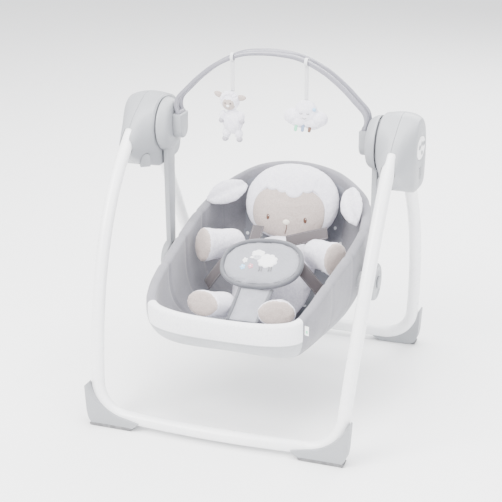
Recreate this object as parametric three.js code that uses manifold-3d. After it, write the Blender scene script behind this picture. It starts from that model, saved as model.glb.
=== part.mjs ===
// A folding portable baby swing: two U-shaped tube legs, a drive housing on each side,
// a bucket seat hung on two arms, a lift-off toy bar and a lamb-shaped support pillow.
// Millimetres. +X is the right-hand side seen from the front, -Y the front, +Z up.
// The origin is on the floor, in the middle of the outline; lengths along Y are worked out
// from the swing axis, and add() moves each piece by SHIFT_Y.
import * as THREE from "three";
import Module from "manifold-3d";
import { mergeVertices } from "three/addons/utils/BufferGeometryUtils.js";

const wasm = await Module();
wasm.setup();
const V = (x, y, z) => new THREE.Vector3(x, y, z);

// ---------- driving dimensions ----------
const AXIS_Z = 528; // height of the swing axis
const TUBE_R = 12.7; // leg tube, one inch outside
const TUBE_WALL = 1.5;
const LEG_X = 266; // leg plane at the housing
const FOOT_X = 249; // leg plane at the floor
const FRONT_FOOT_Y = -313; // centre line of the front bar at its corners
const REAR_FOOT_Y = 255;
const SOLE_H = 8.3; // from the floor to the floor bars' underside
const BAR_Z = TUBE_R + SOLE_H; // centre line of both floor bars
const FRONT_BOW = 12; // how far the front bar bows forward
const CORNER_R = 68; // bend from leg to floor bar
const GAP = 0.35; // between touching pieces
const RUN = 0.6; // clearance round moving pieces

const HOUSING_IN = LEG_X - 38; // inner face of a housing
const HOUSING_OUT = LEG_X + 37; // outer face
const HOUSING_WALL = 2.6;
const AXLE_R = 6;
const BUSH_R = 10;
const BUSH_FLANGE_R = 14;

const HUB_R = 54;
const HUB_WALL = 3;
const HUB_FACE_R = HUB_R - 7.5;
const HUB_T = 21.5;
const HUB_OUT = HOUSING_IN - 3.5;
const HUB_IN = HUB_OUT - HUB_T; // inner face of the hub dome
const ARM_T = 11;
const ARM_OUT = HUB_OUT - 0.5;
const ARM_IN = ARM_OUT - ARM_T;
const ARM_TOP_W = 36;
const ARM_LOW_W = 24;
const ARM_TOP_R = HUB_R - HUB_WALL - 5;
const ARM_LENGTH = 288; // swing axis to seat pivot
const PIVOT_Y = 0;
const PIVOT_Z = AXIS_Z - ARM_LENGTH;
const JOINT_R = 38;
const JOINT_T = 16;
const JOINT_IN = ARM_IN;
const JOINT_OUT = JOINT_IN + JOINT_T;
const PIVOT_PIN_R = 6;

const FOLD_PIVOT_Y = 42; // rear leg's fold pin, from the swing axis
const FOLD_PIVOT_Z = -30;
const FOLD_PIN_R = 4;
const FOLD_ANGLE = 55;

const CLIP_T = 18.4;
const CLIP_W = 42;
const CLIP_H = 52;
const CLIP_TOP = AXIS_Z + 24;
const CLIP_LOW = CLIP_TOP - CLIP_H;
const BAR_Y = 4; // toy bar middle plane
const RAIL_R = 4.8;
const RAIL_SPAN = 24; // front rail to rear rail
const ARCH_RISE = 136; // from the clips' top to the rails' middle line at the arch's crown
const TOY_X = 76;
const PLUG_W = 34;
const PLUG_T = 9;
const PLUG_DEPTH = 34;

const SEAT_ROOM = 29; // from the arms to the widest part of the seat's rim
const SEAT_HALF_W = ARM_IN - SEAT_ROOM;
const SHELL_T = 4; // moulded seat bucket
const PAD_T = 11; // seat cover padding
const ROLL = 8; // how far the padding stands above the bucket's rim
const CELL_R = 7.2;
const CELL_L = 50;
const CELL_GAP = 2;
const CELLS_Y = 2; // middle of the four cells, from the swing axis
const CELLS_Z = -20;
const DOOR_HALF_W = 2 * CELL_R + 7.6;
const DOOR_HALF_H = CELL_L + 4;
const HOUSING_DROP = DOOR_HALF_H - CELLS_Z + 13; // the housing's lowest point, below the swing axis

// ---------- helpers ----------
function solid(geometry) {
  const g = geometry.clone();
  for (const name of Object.keys(g.attributes)) {
    if (name !== "position") g.deleteAttribute(name);
  }
  const m = mergeVertices(g, 1e-3);
  return new wasm.Manifold(
    new wasm.Mesh({
      numProp: 3,
      vertProperties: new Float32Array(m.attributes.position.array),
      triVerts: new Uint32Array(m.index.array),
    }),
  );
}
function geometryOf(s) {
  const mesh = s.getMesh();
  const position = new Float32Array(mesh.numVert * 3);
  for (let i = 0; i < mesh.numVert; i++) {
    for (let k = 0; k < 3; k++) {
      position[3 * i + k] = mesh.vertProperties[mesh.numProp * i + k];
    }
  }
  return new THREE.BufferGeometry()
    .setAttribute("position", new THREE.BufferAttribute(position, 3))
    .setIndex(new THREE.BufferAttribute(new Uint32Array(mesh.triVerts), 1));
}
const join = (...list) => list.reduce((a, b) => a.add(b));
const cut = (a, ...list) => list.reduce((s, b) => s.subtract(b), a);

// Mirrors a geometry to the other side and keeps its faces pointing out.
function mirrored(geometry) {
  const g = geometry.clone().toNonIndexed();
  const p = g.attributes.position;
  for (let i = 0; i < p.count; i += 3) {
    for (let k = 0; k < 3; k++) p.setX(i + k, -p.getX(i + k));
    const held = [p.getX(i + 1), p.getY(i + 1), p.getZ(i + 1)];
    p.setXYZ(i + 1, p.getX(i + 2), p.getY(i + 2), p.getZ(i + 2));
    p.setXYZ(i + 2, ...held);
  }
  return g;
}
const side = (geometry, s) => (s > 0 ? geometry : mirrored(geometry));

function cylinderX(r, x0, x1, y, z, n = 24) {
  const g = new THREE.CylinderGeometry(r, r, x1 - x0, n);
  g.rotateZ(Math.PI / 2).translate((x0 + x1) / 2, y, z);
  return solid(g);
}
function box(x0, x1, y0, y1, z0, z1) {
  const g = new THREE.BoxGeometry(x1 - x0, y1 - y0, z1 - z0);
  g.translate((x0 + x1) / 2, (y0 + y1) / 2, (z0 + z1) / 2);
  return solid(g);
}
// A closed prism along X from an outline of [y, z] points.
function plateX(points, x0, x1) {
  const shape = new THREE.Shape(points.map(([y, z]) => new THREE.Vector2(y, z)));
  const g = new THREE.ExtrudeGeometry(shape, { depth: x1 - x0, bevelEnabled: false });
  // extruded along its own z: turn (x, y, z) into (y, z, x)
  g.applyMatrix4(new THREE.Matrix4().set(0, 0, 1, x0, 1, 0, 0, 0, 0, 1, 0, 0, 0, 0, 0, 1));
  return solid(g);
}
function circle(r, n, cy = 0, cz = 0) {
  return Array.from({ length: n }, (_, i) => {
    const a = (2 * Math.PI * i) / n;
    return [cy + r * Math.cos(a), cz + r * Math.sin(a)];
  });
}
function ball(cx, cy, cz, rx, ry, rz, nu = 20, nv = 12) {
  const g = new THREE.SphereGeometry(1, nu, nv);
  g.rotateX(Math.PI / 2).scale(rx, ry, rz);
  return g.translate(cx, cy, cz);
}
// A round or flattened bar along a curve, as one closed solid.
function sweep(curve, rx, ry, steps, sides, hole = 0) {
  const shape = new THREE.Shape();
  shape.absellipse(0, 0, rx, ry, 0, 2 * Math.PI, false, 0);
  if (hole) {
    const inner = new THREE.Path();
    inner.absellipse(0, 0, hole, hole, 0, 2 * Math.PI, true, 0);
    shape.holes.push(inner);
  }
  return new THREE.ExtrudeGeometry(shape, {
    steps,
    curveSegments: sides / 2,
    bevelEnabled: false,
    extrudePath: curve,
  });
}
// The same outline pushed out along its corner normals, for cutting a neighbour with a gap.
function grown(geometry, d) {
  const g = mergeVertices(
    new THREE.BufferGeometry()
      .setAttribute("position", geometry.attributes.position.clone())
      .setIndex(geometry.index ? geometry.index.clone() : null),
    1e-3,
  );
  g.computeVertexNormals();
  const p = g.attributes.position;
  const n = g.attributes.normal;
  for (let i = 0; i < p.count; i++) {
    p.setXYZ(i, p.getX(i) + d * n.getX(i), p.getY(i) + d * n.getY(i), p.getZ(i) + d * n.getZ(i));
  }
  return solid(g);
}

// ---------- leg tubes ----------
const FRONT_TOP = V(LEG_X, -80, AXIS_Z - 2);
const FRONT_EXIT = V(LEG_X, -105, AXIS_Z - 26);
const FRONT_BULGE = V(LEG_X + 5, -252, AXIS_Z - 168);
const REAR_TOP = V(LEG_X, FOLD_PIVOT_Y - 6.4, AXIS_Z + FOLD_PIVOT_Z + 12.4);
const REAR_EXIT = V(LEG_X, FOLD_PIVOT_Y + 28, AXIS_Z - 84);
const REAR_BULGE = V(LEG_X + 6, 176, AXIS_Z - 228);

// One side of a leg from its top to the middle of the floor bar.
function legHalf(top, exit, bulge, footY, bow) {
  const toward = Math.sign(footY);
  const corner = V(FOOT_X, footY, BAR_Z);
  const kneeZ = BAR_Z + CORNER_R;
  const knee = V(FOOT_X, footY - toward * 9, kneeZ);
  const path = new THREE.CurvePath();
  path.add(new THREE.LineCurve3(top, exit));
  path.add(new THREE.QuadraticBezierCurve3(exit, bulge, knee));
  const barStart = V(FOOT_X - CORNER_R, footY + toward * bow * 0.16, BAR_Z);
  path.add(new THREE.CubicBezierCurve3(
    knee,
    V(FOOT_X - 1, footY - toward * 2, BAR_Z + CORNER_R * 0.42),
    V(corner.x - CORNER_R * 0.42, footY + toward * 1, BAR_Z),
    barStart,
  ));
  path.add(new THREE.QuadraticBezierCurve3(
    barStart,
    V((FOOT_X - CORNER_R) / 2, footY + toward * bow, BAR_Z),
    V(0, footY + toward * bow, BAR_Z),
  ));
  return path;
}
function legPoints(half, count) {
  const points = half.getSpacedPoints(count);
  const other = points.slice(0, -1).reverse().map((p) => V(-p.x, p.y, p.z));
  return [...points, ...other];
}
function legTube(half, r = TUBE_R, hole = TUBE_R - TUBE_WALL, steps = 50, sides = 10) {
  const curve = new THREE.CatmullRomCurve3(legPoints(half, 40), false, "centripetal");
  return sweep(curve, r, r, steps, sides, hole);
}
const frontHalf = legHalf(FRONT_TOP, FRONT_EXIT, FRONT_BULGE, FRONT_FOOT_Y, FRONT_BOW);
const rearHalf = legHalf(REAR_TOP, REAR_EXIT, REAR_BULGE, REAR_FOOT_Y, 4);
const frontRoom = solid(legTube(frontHalf, TUBE_R + GAP, 0));
const rearRoom = solid(legTube(rearHalf, TUBE_R + GAP, 0));

// ---------- feet ----------
// A shoe round the outward side of a leg's corner: front or rear face, side and sole.
const FOOT_WALL = 4.5;
const SOLE_Z = 0;
function foot(room, footY) {
  const toward = Math.sign(footY);
  const top = 84;
  const inner = 154;
  const outer = FOOT_X + TUBE_R + FOOT_WALL;
  const outline = new THREE.Shape();
  outline.moveTo(inner + 22, SOLE_Z);
  outline.lineTo(outer - 24, SOLE_Z);
  outline.quadraticCurveTo(outer - 4, SOLE_Z + 2, outer - 3, 24);
  outline.lineTo(outer, top);
  outline.quadraticCurveTo(outer - 34, 30, inner + 30, 24);
  outline.lineTo(inner, 19);
  outline.quadraticCurveTo(inner + 6, 6, inner + 22, SOLE_Z);
  const y0 = footY + toward * (TUBE_R + FOOT_WALL + 3);
  const depth = TUBE_R + FOOT_WALL + 9;
  const g = new THREE.ExtrudeGeometry(outline, { depth, bevelEnabled: false, curveSegments: 6 });
  g.rotateX(Math.PI / 2);
  g.translate(0, toward > 0 ? y0 : y0 + depth, 0);
  return geometryOf(cut(solid(g), room));
}

// ---------- housings ----------
// Outlines in [y, z] from the swing axis, each a ring of the same number of points.
const OUTLINE_IN = [
  [0, 57], [-20, 53], [-40, 40], [-52, 22], [-57, 0], [-53, -22], [-40, -42], [-28, -54],
  [-24, -70], [-24, -84], [20, -84], [62, -83], [80, -74], [88, -55], [92, -28], [90, 0],
  [80, 26], [60, 44], [30, 54],
];
const OUTLINE_MID = [
  [0, 60], [-26, 50], [-50, 36], [-72, 22], [-92, 4], [-110, -14], [-117, -28], [-104, -44],
  [-84, -58], [-48, -78], [12, -84], [60, -82], [82, -72], [94, -54], [99, -28], [97, 2],
  [86, 30], [62, 48], [30, 58],
];
const OUTLINE_OUT = [
  [2, 52], [-14, 48], [-28, 36], [-36, 20], [-40, 2], [-40, -18], [-42, -38], [-46, -58],
  [-46, -74], [-30, -84], [2, -87], [30, -86], [46, -76], [52, -54], [54, -28], [53, -2],
  [47, 22], [36, 40], [20, 50],
];
// The outlines are drawn for a drop of 87; what is under the axis follows HOUSING_DROP.
const DRAWN_DROP = 87;
for (const outline of [OUTLINE_IN, OUTLINE_MID, OUTLINE_OUT]) {
  for (const point of outline) {
    if (point[1] < 0) point[1] *= HOUSING_DROP / DRAWN_DROP;
  }
}
function blendOutline(a, b, k) {
  return a.map(([y, z], i) => [y + (b[i][0] - y) * k, z + (b[i][1] - z) * k]);
}
function shrink(outline, d) {
  const n = outline.length;
  return outline.map(([y, z], i) => {
    const [py, pz] = outline[(i + n - 1) % n];
    const [qy, qz] = outline[(i + 1) % n];
    const ty = qy - py;
    const tz = qz - pz;
    const l = Math.hypot(ty, tz);
    // the ring runs anticlockwise, so its inside is on the left of its direction
    return [y - (d * tz) / l, z + (d * ty) / l];
  });
}
const STATIONS = [
  [HOUSING_IN, OUTLINE_IN],
  [HOUSING_IN + 9, blendOutline(OUTLINE_IN, OUTLINE_MID, 0.3)],
  [HOUSING_IN + 22, blendOutline(OUTLINE_IN, OUTLINE_MID, 0.8)],
  [LEG_X - 4, OUTLINE_MID],
  [LEG_X + 14, blendOutline(OUTLINE_MID, OUTLINE_OUT, 0.14)],
  [LEG_X + 26, blendOutline(OUTLINE_MID, OUTLINE_OUT, 0.5)],
  [HOUSING_OUT - 3, blendOutline(OUTLINE_MID, OUTLINE_OUT, 0.9)],
  [HOUSING_OUT, shrink(OUTLINE_OUT, 1)],
];
// A closed skin through rings of [y, z] points at rising x, with flat ends.
function loft(stations) {
  const n = stations[0][1].length;
  const points = [];
  for (const [x, ring] of stations) {
    for (const [y, z] of ring) points.push(x, y, z + AXIS_Z);
  }
  const index = [];
  for (let s = 0; s + 1 < stations.length; s++) {
    for (let i = 0; i < n; i++) {
      const a = s * n + i;
      const b = s * n + ((i + 1) % n);
      index.push(a, b, a + n, b, b + n, a + n);
    }
  }
  for (const s of [0, stations.length - 1]) {
    const ring = stations[s][1].map(([y, z]) => new THREE.Vector2(y, z));
    for (const [a, b, c] of THREE.ShapeUtils.triangulateShape(ring, [])) {
      index.push(s * n + a, s * n + (s ? b : c), s * n + (s ? c : b));
    }
  }
  const g = new THREE.BufferGeometry();
  g.setAttribute("position", new THREE.Float32BufferAttribute(points, 3));
  g.setIndex(index);
  return g;
}
const housingBody = solid(loft(STATIONS));
const hollowStations = STATIONS.slice(0, -1).map(([x, ring], i) => [
  i === 0 ? x + HOUSING_WALL : Math.min(x, HOUSING_OUT - HOUSING_WALL),
  shrink(ring, HOUSING_WALL + 0.4),
]);
const housingHollow = solid(loft(hollowStations));

// the front leg's socket: a block moulded inside the hood, bored for the tube
const SOCKET_R = TUBE_R + 4.3;
const frontSocket = solid(
  sweep(new THREE.LineCurve3(V(LEG_X, -76, AXIS_Z + 2), V(LEG_X, -112, AXIS_Z - 33)),
    SOCKET_R, SOCKET_R, 1, 16),
).intersect(housingBody);

// the way the rear leg sweeps when it folds
function rearSweepRoom() {
  const y = FOLD_PIVOT_Y;
  const z = AXIS_Z + FOLD_PIVOT_Z;
  const r = TUBE_R + 2.5;
  const far = 110;
  const rear = (31 * Math.PI) / 180;
  const front = ((FOLD_ANGLE - 24) * Math.PI) / 180;
  const wedge = plateX(
    [
      [y + r * Math.cos(rear), z + r * Math.sin(rear)],
      [y - r * Math.cos(front), z + r * Math.sin(front)],
      [y - r * Math.cos(front) - far * Math.sin(front), z - far * Math.cos(front)],
      [y + r * Math.cos(rear) + far * Math.sin(rear), z - far * Math.cos(rear)],
    ],
    LEG_X - r,
    LEG_X + r,
  );
  return join(wedge, cylinderX(r, LEG_X - r, LEG_X + r, y, z, 20));
}
const foldRoom = rearSweepRoom();
const foldPinRoom = cylinderX(
  FOLD_PIN_R + GAP, LEG_X - 24, LEG_X + 24, FOLD_PIVOT_Y, AXIS_Z + FOLD_PIVOT_Z, 16,
);
const BOSS_FROM = TUBE_R + 3.3; // inner ends of the fold pin's bosses, from the leg's plane
const foldBosses = join(
  cylinderX(9, LEG_X - 28, LEG_X - BOSS_FROM, FOLD_PIVOT_Y, AXIS_Z + FOLD_PIVOT_Z, 16),
  cylinderX(9, LEG_X + BOSS_FROM, LEG_X + 30, FOLD_PIVOT_Y, AXIS_Z + FOLD_PIVOT_Z, 16),
).intersect(housingBody);

// the fold button: an arched tab low on the front of the inner shell
const BUTTON_AT = V(LEG_X - 20, -60, AXIS_Z - 62);
const BUTTON_OUT = V(-0.62, -0.78, 0).normalize();
const TAB_T = 13;
const TAB_TRAVEL = 3;
// The tab's outline as a block from one depth to another along its own direction.
function foldTab(grow, from, to) {
  const w = 10 + grow;
  const h = 15 + grow;
  const s = new THREE.Shape();
  s.moveTo(-w, -h);
  s.lineTo(w, -h);
  s.lineTo(w, h * 0.2);
  s.absarc(0, h * 0.2, w, 0, Math.PI, false);
  s.lineTo(-w, -h);
  const g = new THREE.ExtrudeGeometry(s, { depth: to - from, bevelEnabled: false, curveSegments: 8 });
  g.translate(0, 0, from);
  const z = BUTTON_OUT;
  const x = V(-z.y, z.x, 0).normalize();
  g.applyMatrix4(new THREE.Matrix4().makeBasis(x, V(0, 0, 1), z));
  return g.translate(BUTTON_AT.x, BUTTON_AT.y, BUTTON_AT.z);
}

const tabRoom = solid(foldTab(RUN + 0.1, -TAB_T / 2 - TAB_TRAVEL - 2 * RUN, TAB_T / 2 + 2));
const axleRoom = cylinderX(BUSH_R + GAP, HOUSING_IN - 2, HOUSING_IN + 8, 0, AXIS_Z);
const PARTING = LEG_X;
const BIG = 400;
const halfIn = box(HOUSING_IN - 5, PARTING - GAP / 2, -BIG, BIG, 0, BIG * 3);
const halfOut = box(PARTING + GAP / 2, HOUSING_OUT + 5, -BIG, BIG, 0, BIG * 3);
let shell = join(cut(housingBody, housingHollow), frontSocket, foldBosses);
shell = cut(shell, frontRoom, foldRoom, foldPinRoom, axleRoom, tabRoom);
const innerShell = shell.intersect(halfIn);
const outerShell = shell.intersect(halfOut);
const biggest = (s) => s.decompose().sort((a, b) => b.volume() - a.volume())[0];

// right-hand outer shell: control panel opening and speaker holes
const PANEL_Y = 5;
const PANEL_Z = -4;
const PANEL_RY = 33;
const PANEL_RZ = 23;
function oval(ry, rz, cy, cz, n = 32) {
  return circle(1, n).map(([a, b]) => [cy + ry * a, cz + rz * b]);
}
const panelRoom = plateX(
  oval(PANEL_RY, PANEL_RZ, PANEL_Y, AXIS_Z + PANEL_Z), HOUSING_OUT - 8, HOUSING_OUT + 6,
);
const SPEAKER_Y = 5;
const SPEAKER_Z = -54;
const speakerHoles = [];
for (let i = -2; i <= 2; i++) {
  const reach = 11 - Math.abs(i) * 1.6;
  speakerHoles.push(box(
    HOUSING_OUT - 8, HOUSING_OUT + 6, SPEAKER_Y - reach, SPEAKER_Y + reach,
    AXIS_Z + SPEAKER_Z + i * 5 - 1, AXIS_Z + SPEAKER_Z + i * 5 + 1,
  ));
}
// left-hand outer shell: battery opening
const DOOR = {
  y0: CELLS_Y - DOOR_HALF_W, y1: CELLS_Y + DOOR_HALF_W,
  z0: CELLS_Z - DOOR_HALF_H, z1: CELLS_Z + DOOR_HALF_H,
};
function doorPlate(inset, x0, x1) {
  return box(
    x0, x1, DOOR.y0 + inset, DOOR.y1 - inset,
    AXIS_Z + DOOR.z0 + inset, AXIS_Z + DOOR.z1 - inset,
  );
}
const TRAY_IN = HOUSING_OUT - HOUSING_WALL - 2 * CELL_R - 2.8;
const batteryTray = cut(
  doorPlate(-1.8, TRAY_IN - 1.6, HOUSING_OUT - 1),
  doorPlate(0, TRAY_IN, HOUSING_OUT + 6),
);

// ---------- the seat bucket ----------
// Rim points on the right half, front to back: x for a rim 184 wide to each side, y from the
// swing axis and z from the seat's pivot.
const RIM_HALF_W = 184;
const RIM = [
  [0, -292, 0], [92, -290, 3], [146, -276, 12], [163, -238, 27], [171, -180, 41],
  [178, -95, 56], [184, -10, 71], [184, 70, 88], [168, 146, 112], [136, 178, 138],
  [80, 196, 164], [0, 203, 174],
];
const WIDEN = SEAT_HALF_W / RIM_HALF_W;
const RIM_INSET = 0.985;
const rimCurve = new THREE.CatmullRomCurve3(
  [...RIM, ...RIM.slice(1, -1).reverse().map(([x, y, z]) => [-x, y, z])].map(([x, y, z]) =>
    V(x * WIDEN * RIM_INSET, y * RIM_INSET, PIVOT_Z + z - ROLL)),
  true,
  "centripetal",
);
const RIM_STEPS = 32;
const rimPoints = rimCurve.getSpacedPoints(RIM_STEPS).slice(0, RIM_STEPS);
const BUCKET_DEPTH = 112; // from the seat's pivot down to the bucket's floor
const BOTTOM_Y = -10;
const BOTTOM = V(0, BOTTOM_Y, PIVOT_Z - BUCKET_DEPTH);
// A point of the bucket's reference surface: u is the rim step, t runs from the bottom to the rim.
function bucket(u, t) {
  const r = rimPoints[((u % RIM_STEPS) + RIM_STEPS) % RIM_STEPS];
  const across = Math.abs(r.x) / Math.hypot(r.x, r.y - BOTTOM_Y);
  const n = 2.3 + 1.3 * across * across;
  const c = Math.sin((t * Math.PI) / 2);
  const d = Math.cos((t * Math.PI) / 2);
  const l = (c ** n + d ** n) ** (1 / n);
  const q = c / l;
  const w = 1 - d / l;
  return V(
    BOTTOM.x + (r.x - BOTTOM.x) * q,
    BOTTOM.y + (r.y - BOTTOM.y) * q,
    BOTTOM.z + (r.z - BOTTOM.z) * w,
  );
}
function bucketNormal(u, t) {
  const e = 0.02;
  const du = bucket(u + 1, t).sub(bucket(u - 1, t));
  const dt = bucket(u, Math.min(1, t + e)).sub(bucket(u, Math.max(0, t - e)));
  return du.cross(dt).normalize().negate();
}
// A closed bowl from a profile of [t, offset, lift] that starts and ends at t = 0.
function bowl(profile) {
  const points = [];
  const rings = profile.slice(1, -1);
  for (const [t, off, lift = 0] of rings) {
    for (let u = 0; u < RIM_STEPS; u++) {
      const p = bucket(u, t).addScaledVector(bucketNormal(u, t), off);
      points.push(p.x, p.y, p.z + lift);
    }
  }
  const first = rings.length * RIM_STEPS;
  for (const [, off] of [profile[0], profile.at(-1)]) {
    points.push(BOTTOM.x, BOTTOM.y, BOTTOM.z + off);
  }
  const index = [];
  for (let u = 0; u < RIM_STEPS; u++) {
    const v = (u + 1) % RIM_STEPS;
    index.push(first, v, u);
    for (let k = 0; k + 1 < rings.length; k++) {
      const a = k * RIM_STEPS;
      const b = a + RIM_STEPS;
      // parallel skins split their squares along the same diagonal
      const rising = rings[k + 1][0] > rings[k][0];
      if (rising) index.push(a + u, a + v, b + v, a + u, b + v, b + u);
      else index.push(a + u, a + v, b + u, a + v, b + v, b + u);
    }
    const l = (rings.length - 1) * RIM_STEPS;
    index.push(first + 1, l + u, l + v);
  }
  const g = new THREE.BufferGeometry();
  g.setAttribute("position", new THREE.Float32BufferAttribute(points, 3));
  g.setIndex(index);
  return g;
}
const STEPS_T = [0.2, 0.38, 0.54, 0.7, 0.84, 0.96];
const shellProfile = [
  [0, -SHELL_T], ...STEPS_T.map((t) => [t, -SHELL_T]), ...[...STEPS_T].reverse().map((t) => [t, 0]),
  [0, 0],
];
const OUTER_GAP = SHELL_T + 0.6; // back of the outer skirt, from the bucket's inner surface
const SKIRT_OUT = OUTER_GAP + 3;
const SKIRT_T = STEPS_T.slice(2); // the skirt hangs from the rim to the first of these
const coverProfile = [
  [0, GAP],
  ...STEPS_T.map((t) => [t, GAP]),
  [1, GAP, 1],
  [1, -OUTER_GAP, 1],
  ...[...SKIRT_T].reverse().map((t) => [t, -OUTER_GAP]),
  ...SKIRT_T.map((t) => [t, -SKIRT_OUT]),
  [1, -SKIRT_OUT, 2],
  [1, -SHELL_T, ROLL - 1],
  [1, SHELL_T, ROLL],
  [1, PAD_T, ROLL - 4],
];

// ---------- materials ----------
const paint = (name, color, roughness, metalness = 0) =>
  new THREE.MeshStandardMaterial({ name, color, roughness, metalness });
const WHITE_STEEL = paint("white_tube", 0xf2f2f3, 0.35, 0.1);
const GREY_PLASTIC = paint("grey_plastic", 0xcfd1d4, 0.45);
const FOOT_PLASTIC = paint("foot_plastic", 0xd0d1d4, 0.5);
const RAIL_PLASTIC = paint("rail_plastic", 0xa9a8b0, 0.35);
const STEEL = paint("steel", 0xb9bcc0, 0.3, 1);
const DARK = paint("dark_plastic", 0x3a3b3e, 0.6);
const BATTERY = paint("battery", 0x6d7076, 0.4, 0.5);
const BOARD = paint("board", 0x2f6b45, 0.6);
const PANEL = paint("panel_white", 0xf4f4f4, 0.4);
const VELOUR = paint("grey_velour", 0xb6b5bb, 0.95);
const PLUSH = paint("white_plush", 0xf3f1f8, 0.95);
const WEBBING = paint("webbing", 0x8f8b90, 0.9);

const FRONT_MOST = FRONT_FOOT_Y - FRONT_BOW - TUBE_R;
const REAR_MOST = REAR_FOOT_Y + TUBE_R + FOOT_WALL + 3;
const SHIFT_Y = -(FRONT_MOST + REAR_MOST) / 2;
const group = new THREE.Group();
const made = {};
function add(name, geometry, material) {
  const mesh = new THREE.Mesh(geometry, material);
  mesh.name = name;
  group.add(mesh);
  made[name] = geometry.clone();
  geometry.translate(0, SHIFT_Y, 0);
}
const SIDES = [["left", -1], ["right", 1]];

// ---------- frame ----------
const foldPinHole = join(
  cylinderX(FOLD_PIN_R + GAP, LEG_X - 24, LEG_X + 24, FOLD_PIVOT_Y, AXIS_Z + FOLD_PIVOT_Z, 16),
  cylinderX(FOLD_PIN_R + GAP, -LEG_X - 24, -LEG_X + 24, FOLD_PIVOT_Y, AXIS_Z + FOLD_PIVOT_Z, 16),
);
add("front_leg_tube", legTube(frontHalf), WHITE_STEEL);
add("rear_leg_tube", geometryOf(cut(solid(legTube(rearHalf)), foldPinHole)), WHITE_STEEL);
for (const [name, s] of SIDES) {
  add(`foot_front_${name}`, side(foot(frontRoom, FRONT_FOOT_Y), s), FOOT_PLASTIC);
  add(`foot_rear_${name}`, side(foot(rearRoom, REAR_FOOT_Y), s), FOOT_PLASTIC);
}

// ---------- housings and what they hold ----------
for (const [name, s] of SIDES) {
  let outer = outerShell;
  if (s > 0) {
    outer = cut(outer, panelRoom, ...speakerHoles);
  } else {
    outer = join(cut(outer, doorPlate(0, HOUSING_OUT - 8, HOUSING_OUT + 6)), batteryTray);
  }
  add(`${name}_housing_inner`, side(geometryOf(biggest(innerShell)), s), GREY_PLASTIC);
  add(`${name}_housing_outer`, side(geometryOf(biggest(outer)), s), GREY_PLASTIC);
  const tab = solid(foldTab(0, -TAB_T / 2, TAB_T / 2));
  add(`${name}_fold_button`, side(geometryOf(tab), s), GREY_PLASTIC);
  const pin = cylinderX(FOLD_PIN_R, LEG_X - 23, LEG_X + 23, FOLD_PIVOT_Y, AXIS_Z + FOLD_PIVOT_Z, 16);
  add(`${name}_fold_pin`, side(geometryOf(pin), s), STEEL);
  const bush = cut(
    join(
      cylinderX(BUSH_R, HOUSING_IN - 1, HOUSING_IN + 6, 0, AXIS_Z),
      cylinderX(BUSH_FLANGE_R, HOUSING_IN + HOUSING_WALL + GAP, HOUSING_IN + 6, 0, AXIS_Z),
    ),
    cylinderX(AXLE_R + 0.08, HOUSING_IN - 9, HOUSING_IN + 9, 0, AXIS_Z, 32),
  );
  add(`${name}_axle_bush`, side(geometryOf(bush), s), DARK);
  const axle = cylinderX(AXLE_R, ARM_IN + 1, HOUSING_IN + 26, 0, AXIS_Z, 32);
  add(`${name}_axle`, side(geometryOf(axle), s), STEEL);
}
const door = doorPlate(GAP, HOUSING_OUT - HOUSING_WALL, HOUSING_OUT);
add("battery_door", side(geometryOf(door), -1), GREY_PLASTIC);
const CELL_X = HOUSING_OUT - HOUSING_WALL - CELL_R - 1;
const CELL_STEP_Y = 2 * CELL_R + 5.6;
const CELL_STEP_Z = CELL_L + CELL_GAP;
[[-0.5, -0.5], [0.5, -0.5], [-0.5, 0.5], [0.5, 0.5]].forEach(([j, k], i) => {
  const g = new THREE.CylinderGeometry(CELL_R, CELL_R, CELL_L, 20);
  g.rotateX(Math.PI / 2);
  g.translate(-CELL_X, CELLS_Y + j * CELL_STEP_Y, AXIS_Z + CELLS_Z + k * CELL_STEP_Z);
  add(`battery_cell_${i + 1}`, g, BATTERY);
});

// control panel, its buttons, board and speaker in the right-hand housing
const PANEL_IN = HOUSING_OUT - 3;
const PANEL_FACE = HOUSING_OUT + 0.6;
const BUTTONS = [["power", -15, 4, 5], ["speed", 3, 7, 5], ["music", 21, 4, 5], ["volume", 6, -11, 4.4]];
const buttonHoles = BUTTONS.map(([, y, z, r]) =>
  cylinderX(r + RUN, HOUSING_OUT - 9, HOUSING_OUT + 9, PANEL_Y + y, AXIS_Z + PANEL_Z + z, 20));
const panel = cut(
  plateX(
    oval(PANEL_RY - GAP, PANEL_RZ - GAP, PANEL_Y, AXIS_Z + PANEL_Z), PANEL_IN, PANEL_FACE,
  ),
  ...buttonHoles,
);
add("control_panel", geometryOf(panel), PANEL);
for (const [name, y, z, r] of BUTTONS) {
  const b = cylinderX(r, PANEL_IN - 1.5, PANEL_FACE + 1.6, PANEL_Y + y, AXIS_Z + PANEL_Z + z, 20);
  add(`${name}_button`, geometryOf(b), GREY_PLASTIC);
}
add(
  "circuit_board",
  geometryOf(box(HOUSING_OUT - 10, HOUSING_OUT - 8.4, -20, 30, AXIS_Z - 24, AXIS_Z + 18)),
  BOARD,
);
const speaker = join(
  cylinderX(15, HOUSING_OUT - 7, HOUSING_OUT - 4.5, SPEAKER_Y, AXIS_Z + SPEAKER_Z, 24),
  cylinderX(9, HOUSING_OUT - 14, HOUSING_OUT - 6, SPEAKER_Y, AXIS_Z + SPEAKER_Z, 20),
);
add("speaker", geometryOf(speaker), DARK);

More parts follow.
